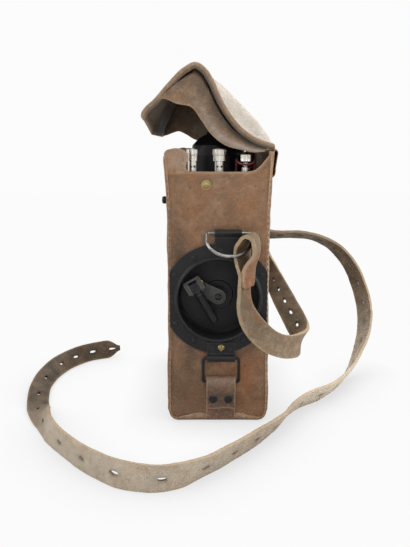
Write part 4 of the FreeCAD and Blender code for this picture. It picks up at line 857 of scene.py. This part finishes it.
def strap_line():
    """Middle points, upper-edge directions and face directions along the strap, evenly spaced."""
    stations = np.array(STATIONS)
    laid = (stations[:, 2] == LAID).astype(float)
    stations[:, 2] = np.where(laid > 0, 10, stations[:, 2])
    line = spline(np.column_stack([stations, laid]), COUNT)
    middle, wide, laid = line[:, :3], line[:, 3:6], line[:, 6]
    along = unit(np.gradient(middle, axis=0))
    wide = unit(wide - along * (wide * along).sum(1)[:, None])
    face = np.cross(along, wide)
    rest = HALF_STRAP * np.abs(wide[:, 2]) + STRAP_T / 2 * np.abs(face[:, 2])
    middle[:, 2] += smoothstep(laid) * (rest - middle[:, 2])
    return middle, wide, face


middle, wide, face = strap_line()
run = lengths(middle)
print("strap length:", round(run[-1]), "mm")
half = np.array([1, 2.6, 4, 6, 8, 9.6, 10.5])
across = np.concatenate([-half[::-1], half])
slits = np.concatenate([np.linspace(*group) for group in SLITS])
off_slit = np.abs(run[:, None] - slits).min(axis=1)
mids = (run[1:] + run[:-1]) / 2
keep = np.ones((COUNT - 1, len(across) - 1), bool)
keep[np.abs(mids[:, None] - slits).min(axis=1) < SLIT_HALF_L - 0.6, 6] = False
half_slit = SLIT_HALF_W * np.sqrt(np.maximum(1 - (off_slit / SLIT_HALF_L) ** 2, 0.1))
lines = np.tile(across, (COUNT, 1))
lines[:, 6], lines[:, 7] = -half_slit, half_slit
narrow = 1 - 0.75 * ramp(run, run[-1] - 20, 20) ** 2 - 0.25 * np.exp(-run / 1.8)
edge_wave = 1 + 0.012 * np.sin(run / 17) + 0.008 * np.sin(run / 6.1 + 2)
grid = middle[:, None] + wide[:, None] * (lines * (narrow * edge_wave)[:, None])[..., None]
cup = 0.4 * (across / HALF_STRAP) ** 2 - 0.15
waves = 0.25 * ripple(grid, 26, 61) + 0.12 * ripple(grid, 8, 62)
grid = grid + face[:, None] * (cup + waves)[..., None]
grid[..., 2] = np.maximum(grid[..., 2], 0.3)
at = run[:, None]
tail = 1 - ramp(at, 22, 14) + 0 * across
upper_edge = bell(at - 112, 26) * ramp(across, 1, 5)
slit_rub = bell(off_slit[:, None], 5) * bell(across, 2.4)
seam_dark = bell(at - 88, 4.5) * smoothstep((2 - across) / 8)
# Darker along the strap by the table: dirt, and painted shade over its far end, which faces away from the
# light.
soil = np.interp(run, *np.transpose(SOILED_AND_SHADED))[:, None] * (0.8 + 0.2 * ripple(grid, 20, 63))
marks = {
    "rim": 0.75 * bell(HALF_STRAP - np.abs(across), 0.8) + 0 * at,
    "stain": np.clip(0.6 * slit_rub + 0.8 * seam_dark, 0, 1),
    "soil": np.clip(soil, 0, 1),
    "sun": np.interp(run, *np.transpose(FADED))[:, None] + 0 * across,
    "red": np.clip(np.maximum(tail, 0.9 * upper_edge), 0, 1),
}


def strap_piece(label, first, last):
    """The part of the strap between two rows."""
    rows = slice(first, last + 1)
    piece = surface("strap_" + label, grid[rows], keep=keep[first:last],
                    **{mark: values[rows] for mark, values in marks.items()})
    thicken(piece, STRAP_T, 0.55, offset=0, even=False)
    place(piece, None, strap_leather, "strap_leather", "shoulder_strap")
    print(piece.name, round(run[last] - run[first]), "mm")
    return piece


def nearest(point):
    """The row of the strap that is closest to a point."""
    return int(np.argmin(np.linalg.norm(middle - np.array(point), axis=1)))


off_ring, at_corner = nearest((21.2, -114.2, 117)), nearest((56.3, 84, 128))
on_ground = nearest((95, 120, 147.3))
ring_loop = strap_piece("ring_loop", 0, off_ring)
case_side = strap_piece("case_side", off_ring, at_corner)
ring_bight = strap_piece("ring_bight", at_corner, on_ground)
ground_run = strap_piece("ground_run", on_ground, COUNT - 1)
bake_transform(ring_loop)
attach(case_side, "case")
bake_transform(ring_bight)
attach(ground_run, "case")

# %% [markdown]
# ## Stitches
#
# The seams are sewn by hand with waxed thread. Each stitch is a short tube that rises out of one hole
# and dips into the next: its middle line is lifted by h·cos(πt) and its radius falls to nothing at
# both ends, for t from -1/2 to 1/2. All the stitches of a seam are rows of one grid, with the cells
# between two stitches left out.

# %% Stitches
STITCH_L, STITCH_R, STITCH_LIFT = 3.4, 0.42, 0.38


def stitches(name, places, along, normal):
    """Closed tubes at the places, lying along the seam and lifted off the leather along normal."""
    t = np.linspace(-0.5, 0.5, 9)
    angle = np.linspace(0, TURN, 8, endpoint=False)[:, None]
    along = unit(along)
    normal = unit(normal - along * (normal * along).sum(1)[:, None])
    side = np.cross(normal, along)
    slant = np.random.default_rng(len(places)).uniform(-0.12, 0.12, len(places))[:, None]
    along, side = along + side * slant, side - along * slant
    radius = STITCH_R * np.sqrt(np.maximum(np.cos(np.pi * t), 0))
    centre = (places[:, None] + along[:, None] * (STITCH_L * t)[:, None]
              + normal[:, None] * (STITCH_LIFT * np.cos(np.pi * t) - 0.1)[:, None])
    ring = normal[:, None, None] * np.cos(angle) + side[:, None, None] * np.sin(angle)
    tubes = centre[:, :, None] + ring * radius[None, :, None, None]
    keep = np.ones((len(places) * 9 - 1, 8), bool)
    keep[8::9] = False
    piece = surface(name, tubes.reshape(-1, 8, 3), wrap=True, keep=keep)
    weld(piece, 0.004)
    return piece


def banded(name, direction, scale, distortion, patch, tones, ridge=None, gap=None, depth=0.0001,
           strength=0.7, metal=0, rough=0.7):
    """Strands or turns side by side: two tones in patches, with the tone of the ridges or the gaps."""
    material, tree, shader, where = empty_material(name)
    bands = node(tree, "TexWave", {"Vector": where, "Scale": scale, "Distortion": distortion},
                 bands_direction=direction).outputs["Fac"]
    colour = mixed(tree, patchy(tree, where, patch, 0.5, 0.2), *tones)
    colour = mixed(tree, scaled(tree, bands, 0.5), gap or colour, ridge or colour)
    relief = node(tree, "Bump", {"Height": bands, "Distance": depth, "Strength": strength})
    wire(tree, shader, {"Base Color": colour, "Normal": relief.outputs["Normal"], "Metallic": metal,
                        "Roughness": rough})
    return material


thread = banded("waxed_thread", "DIAGONAL", 700, 1, 60, ((0.15, 0.105, 0.065), (0.085, 0.06, 0.04)),
                ridge=(0.24, 0.185, 0.125))


def sew(name, body, slot_name, line, normals, pitch=5.2, skip=2):
    """Stitches every pitch millimetres along a line, with skip left free at both ends.

    normals is one direction, or a row for each point of the line.
    """
    run = lengths(line)
    at = np.arange(skip, run[-1] - skip, pitch)
    ways = sampled(at, run, np.gradient(line, run, axis=0))
    normals = sampled(at / run[-1], np.linspace(0, 1, len(line)), np.broadcast_to(normals, line.shape))
    place(stitches(name, sampled(at, run, line), ways, normals), body, thread, slot_name)


for end_label, end in (("near", -1), ("far", 1)):
    for side_label, sign in (("left", -1), ("right", 1)):
        heights = np.linspace(16, 224, 90)
        line = np.column_stack([sign * (HALF_W + bulge(heights) - 1.7), np.full(90, end * 97.2), heights])
        sew(f"case_stitches_{end_label}_{side_label}", "case", "worn_leather", line, [0.35 * sign, end, 0])
line = np.column_stack([np.full(40, 48.4), np.linspace(-88, 88, 40), np.full(40, 227.6)])
sew("hinge_stitches", "case", "worn_leather", line, [1, 0, -0.1])
for label, end in (("near", -1), ("far", 1)):
    shoulder, centre = (lid_at(np.array([end * 87.2]), np.array([off]))[:, 0] for off in (0.35, -2))
    sew("lid_stitches_" + label, "lid", "pale_leather", shoulder, shoulder - centre, 5, 8)
rows = [int(np.searchsorted(run, at)) for at in (7, 15)]
across_at = np.array([-6.6, -2.2, 2.2, 6.6])
underside = middle - face * (STRAP_T / 2)
places = np.concatenate([underside[row] + wide[row] * across_at[:, None] for row in rows])
ways = np.repeat(wide[rows], 4, axis=0)
seam = stitches("tail_stitches", places, ways, -np.repeat(face[rows], 4, axis=0))
place(seam, None, thread, "strap_leather")
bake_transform(seam)

# %% [markdown]
# ## Finishes for the metal and moulded parts
#
# The frame's own nodes keep their shapes and get a finish. One function makes them all: a tone and
# a second tone in patches, bare metal or paler stuff on worn edges, dust on what faces up, painted
# shade with grime in narrow gaps, and a fine unevenness that breaks the highlights.

# %% Finishes for the metal and moulded parts
DUST_TONE, CREVICE_SHADE_AND_GRIME_TONE = (0.2, 0.17, 0.14), (0.018, 0.015, 0.012)


def finish(name, tone, second, bare, metal, rough, edge=0.1, edge_metal=None, patch=60, bump=0.00006,
           dusty=0.12, gloss=0.5, flecks=0.35):
    """A worn finish; tones are linear RGB, bare is what shows on rubbed edges."""
    material, tree, shader, where = empty_material(name)
    area = patchy(tree, where, patch, 0.52, 0.12)
    fleck = patchy(tree, where, patch * 9, 0.66, 0.05)
    grey = use(tree, dust, {"Vector": where, "Scale": 140, "Amount": dusty})["Mask"]
    colour = mixed(tree, area, tone, second)
    colour = mixed(tree, scaled(tree, fleck, flecks), colour, bare)
    if edge:
        worn = use(tree, edges, {"Vector": where, "Radius": 0.0007, "Reach": edge})["Mask"]
        colour = mixed(tree, worn, colour, bare)
    colour = mixed(tree, grey, colour, DUST_TONE)
    # Painted shade with grime in crevices: gaps and the rings round heads turn nearly black.
    gap = use(tree, crevices)["Mask"]
    smear = ranged(tree, area, to_min=rough, to_max=rough + 0.16)
    if edge_metal is not None:
        metal = ranged(tree, worn, to_min=metal, to_max=edge_metal)
    wire(tree, shader, {
        "Base Color": mixed(tree, scaled(tree, gap, 0.85), colour, CREVICE_SHADE_AND_GRIME_TONE),
        "Roughness": math(tree, "ADD", smear, grey, clamp=True),
        "Metallic": metal,
        "Normal": use(tree, grain, {"Vector": where, "Scale": 500, "Depth": bump})["Normal"],
        "Specular IOR Level": gloss,
    })
    return material


nickel = finish("nickel", (0.64, 0.61, 0.56), (0.5, 0.47, 0.42), (0.82, 0.8, 0.76), 1, 0.24, edge=0,
                patch=150, dusty=0, bump=0, flecks=0.1)
FINISHES = {
    finish("black_paint", (0.0065, 0.0066, 0.0076), (0.011, 0.011, 0.012), (0.095, 0.095, 0.098), 0, 0.38,
           edge=0.15, edge_metal=0.6, dusty=0.05, gloss=0.24, flecks=0.2):
        "crank_well flange_screws upper_bracket lower_bracket rear_bracket bracket_pins closure_stud chassis "
        "bottom_link",
    finish("worn_steel", (0.06, 0.06, 0.054), (0.04, 0.04, 0.037), (0.2, 0.195, 0.175), 0.35, 0.46,
           dusty=0.05, gloss=0.3, flecks=0.2): "crank_arm crank_fork",
    finish("dark_steel", (0.016, 0.016, 0.018), (0.01, 0.01, 0.012), (0.11, 0.108, 0.105), 0.3, 0.4,
           dusty=0.04, gloss=0.25, flecks=0.15): "tab_rivets crank_shaft hub_screw handle_root handle_grip",
    nickel: "post_sleeves left_post_cap right_post_cap thumb_screw snap_socket panel_screws",
    finish("brass", (0.26, 0.195, 0.085), (0.15, 0.115, 0.06), (0.5, 0.4, 0.2), 1, 0.36):
        "bracket_screw case_screw crank_pin armature_pinion drive_gear generator_plates",
    finish("bakelite", (0.0035, 0.0035, 0.0048), (0.006, 0.0055, 0.0065), (0.04, 0.036, 0.036), 0, 0.3,
           dusty=0.03, gloss=0.12, flecks=0.1): "top_panel terminal_block handset_body cup_covers talk_bar",
    finish("red_covering", (0.13, 0.012, 0.018), (0.06, 0.008, 0.012), (0.26, 0.06, 0.06), 0, 0.6,
           patch=220): "red_lead",
    finish("rubber", (0.008, 0.008, 0.008), (0.014, 0.013, 0.012), (0.04, 0.04, 0.036), 0, 0.72,
           gloss=0.2): "cord_gland",
    finish("zinc_steel", (0.36, 0.36, 0.35), (0.26, 0.25, 0.23), (0.55, 0.55, 0.54), 1, 0.36):
        "post_springs ringer_frame battery_holder",
    finish("ring_steel", (0.24, 0.235, 0.225), (0.13, 0.125, 0.12), (0.5, 0.49, 0.47), 1, 0.28,
           patch=140, dusty=0.03): "front_ring rear_ring",
    finish("magnet_steel", (0.09, 0.1, 0.11), (0.05, 0.055, 0.06), (0.35, 0.35, 0.36), 0.9, 0.38):
        "generator_magnets",
    finish("soft_iron", (0.17, 0.16, 0.15), (0.12, 0.09, 0.07), (0.4, 0.39, 0.38), 0.9, 0.45):
        "pole_pieces armature_core clapper",
    banded("wound_wire", "Y", 420, 0.6, 90, ((0.3, 0.085, 0.03), (0.17, 0.05, 0.022)),
           gap=(0.05, 0.018, 0.01), depth=0.0002, strength=0.8, metal=0.8, rough=0.35):
        "ringer_coils induction_coil armature_winding",
    finish("bell_metal", (0.52, 0.5, 0.46), (0.4, 0.38, 0.33), (0.78, 0.76, 0.72), 1, 0.22): "ringer_gongs",
    finish("cell_can", (0.115, 0.08, 0.05), (0.085, 0.06, 0.04), (0.4, 0.38, 0.34), 0, 0.66): "dry_cells",
    finish("capacitor_can", (0.34, 0.34, 0.33), (0.25, 0.25, 0.24), (0.6, 0.6, 0.59), 0.9, 0.4):
        "capacitor capsules",
}
for material, names in FINISHES.items():
    for name in names.split():
        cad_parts[name].data.materials.clear()
        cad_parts[name].data.materials.append(material)
print("finished", sum(len(names.split()) for names in FINISHES.values()), "frame nodes")

# %% [markdown]
# ## Third terminal's screw
#
# The screw is turned from brass rod and knurled where the fingers hold it. Its outline is spun round
# its axis. On the knurled band the radius is lowered by a V between one ridge and the next:
# r - depth·|2·frac(n·angle) - 1|. Extra points close to each corner keep the turned edges crisp.

# %% Third terminal's screw
RIDGES, RIDGE_DEPTH, SCREW_X, SCREW_Y = 28, 0.45, 24, -83
SCREW = [(0, 214), (2.2, 214), (2.2, 233), (2.9, 233.6), (2.9, 236.4), (2.4, 237.6), (4.1, 237.6),
         (4.6, 238.2), (4.6, 243.6), (3.9, 244.4), (3.4, 244.9), (1.2, 245), (0, 244.8)]


def crisp(outline, near=0.12):
    """The outline with a point added just before and just after each corner."""
    outline = np.asarray(outline)
    step = np.diff(outline, axis=0)
    length = np.linalg.norm(step, axis=1)[:, None]
    small = np.minimum(near, length / 3) * step / length
    points = np.stack([outline[:-1], outline[:-1] + small, outline[1:] - small], axis=1)
    return np.concatenate([points.reshape(-1, 2), outline[-1:]])


radius, height = crisp(SCREW).T[..., None]
angle = np.linspace(0, TURN, RIDGES * 8, endpoint=False)
groove = np.abs(2 * ((angle * RIDGES / TURN) % 1) - 1)
band = ramp(height, 238, 0.3) * smoothstep((243.9 - height) / 0.3)
radius = radius - RIDGE_DEPTH * band * groove
points = np.stack([SCREW_X + radius * np.cos(angle), SCREW_Y + radius * np.sin(angle), height + 0 * radius],
                  axis=-1)
knurled = surface("knurled_screw", points, (SCREW_X, SCREW_Y, 240), wrap=True)
weld(knurled, 0.004)
place(knurled, "thumb_screw", nickel, "nickel", "thumb_screw")
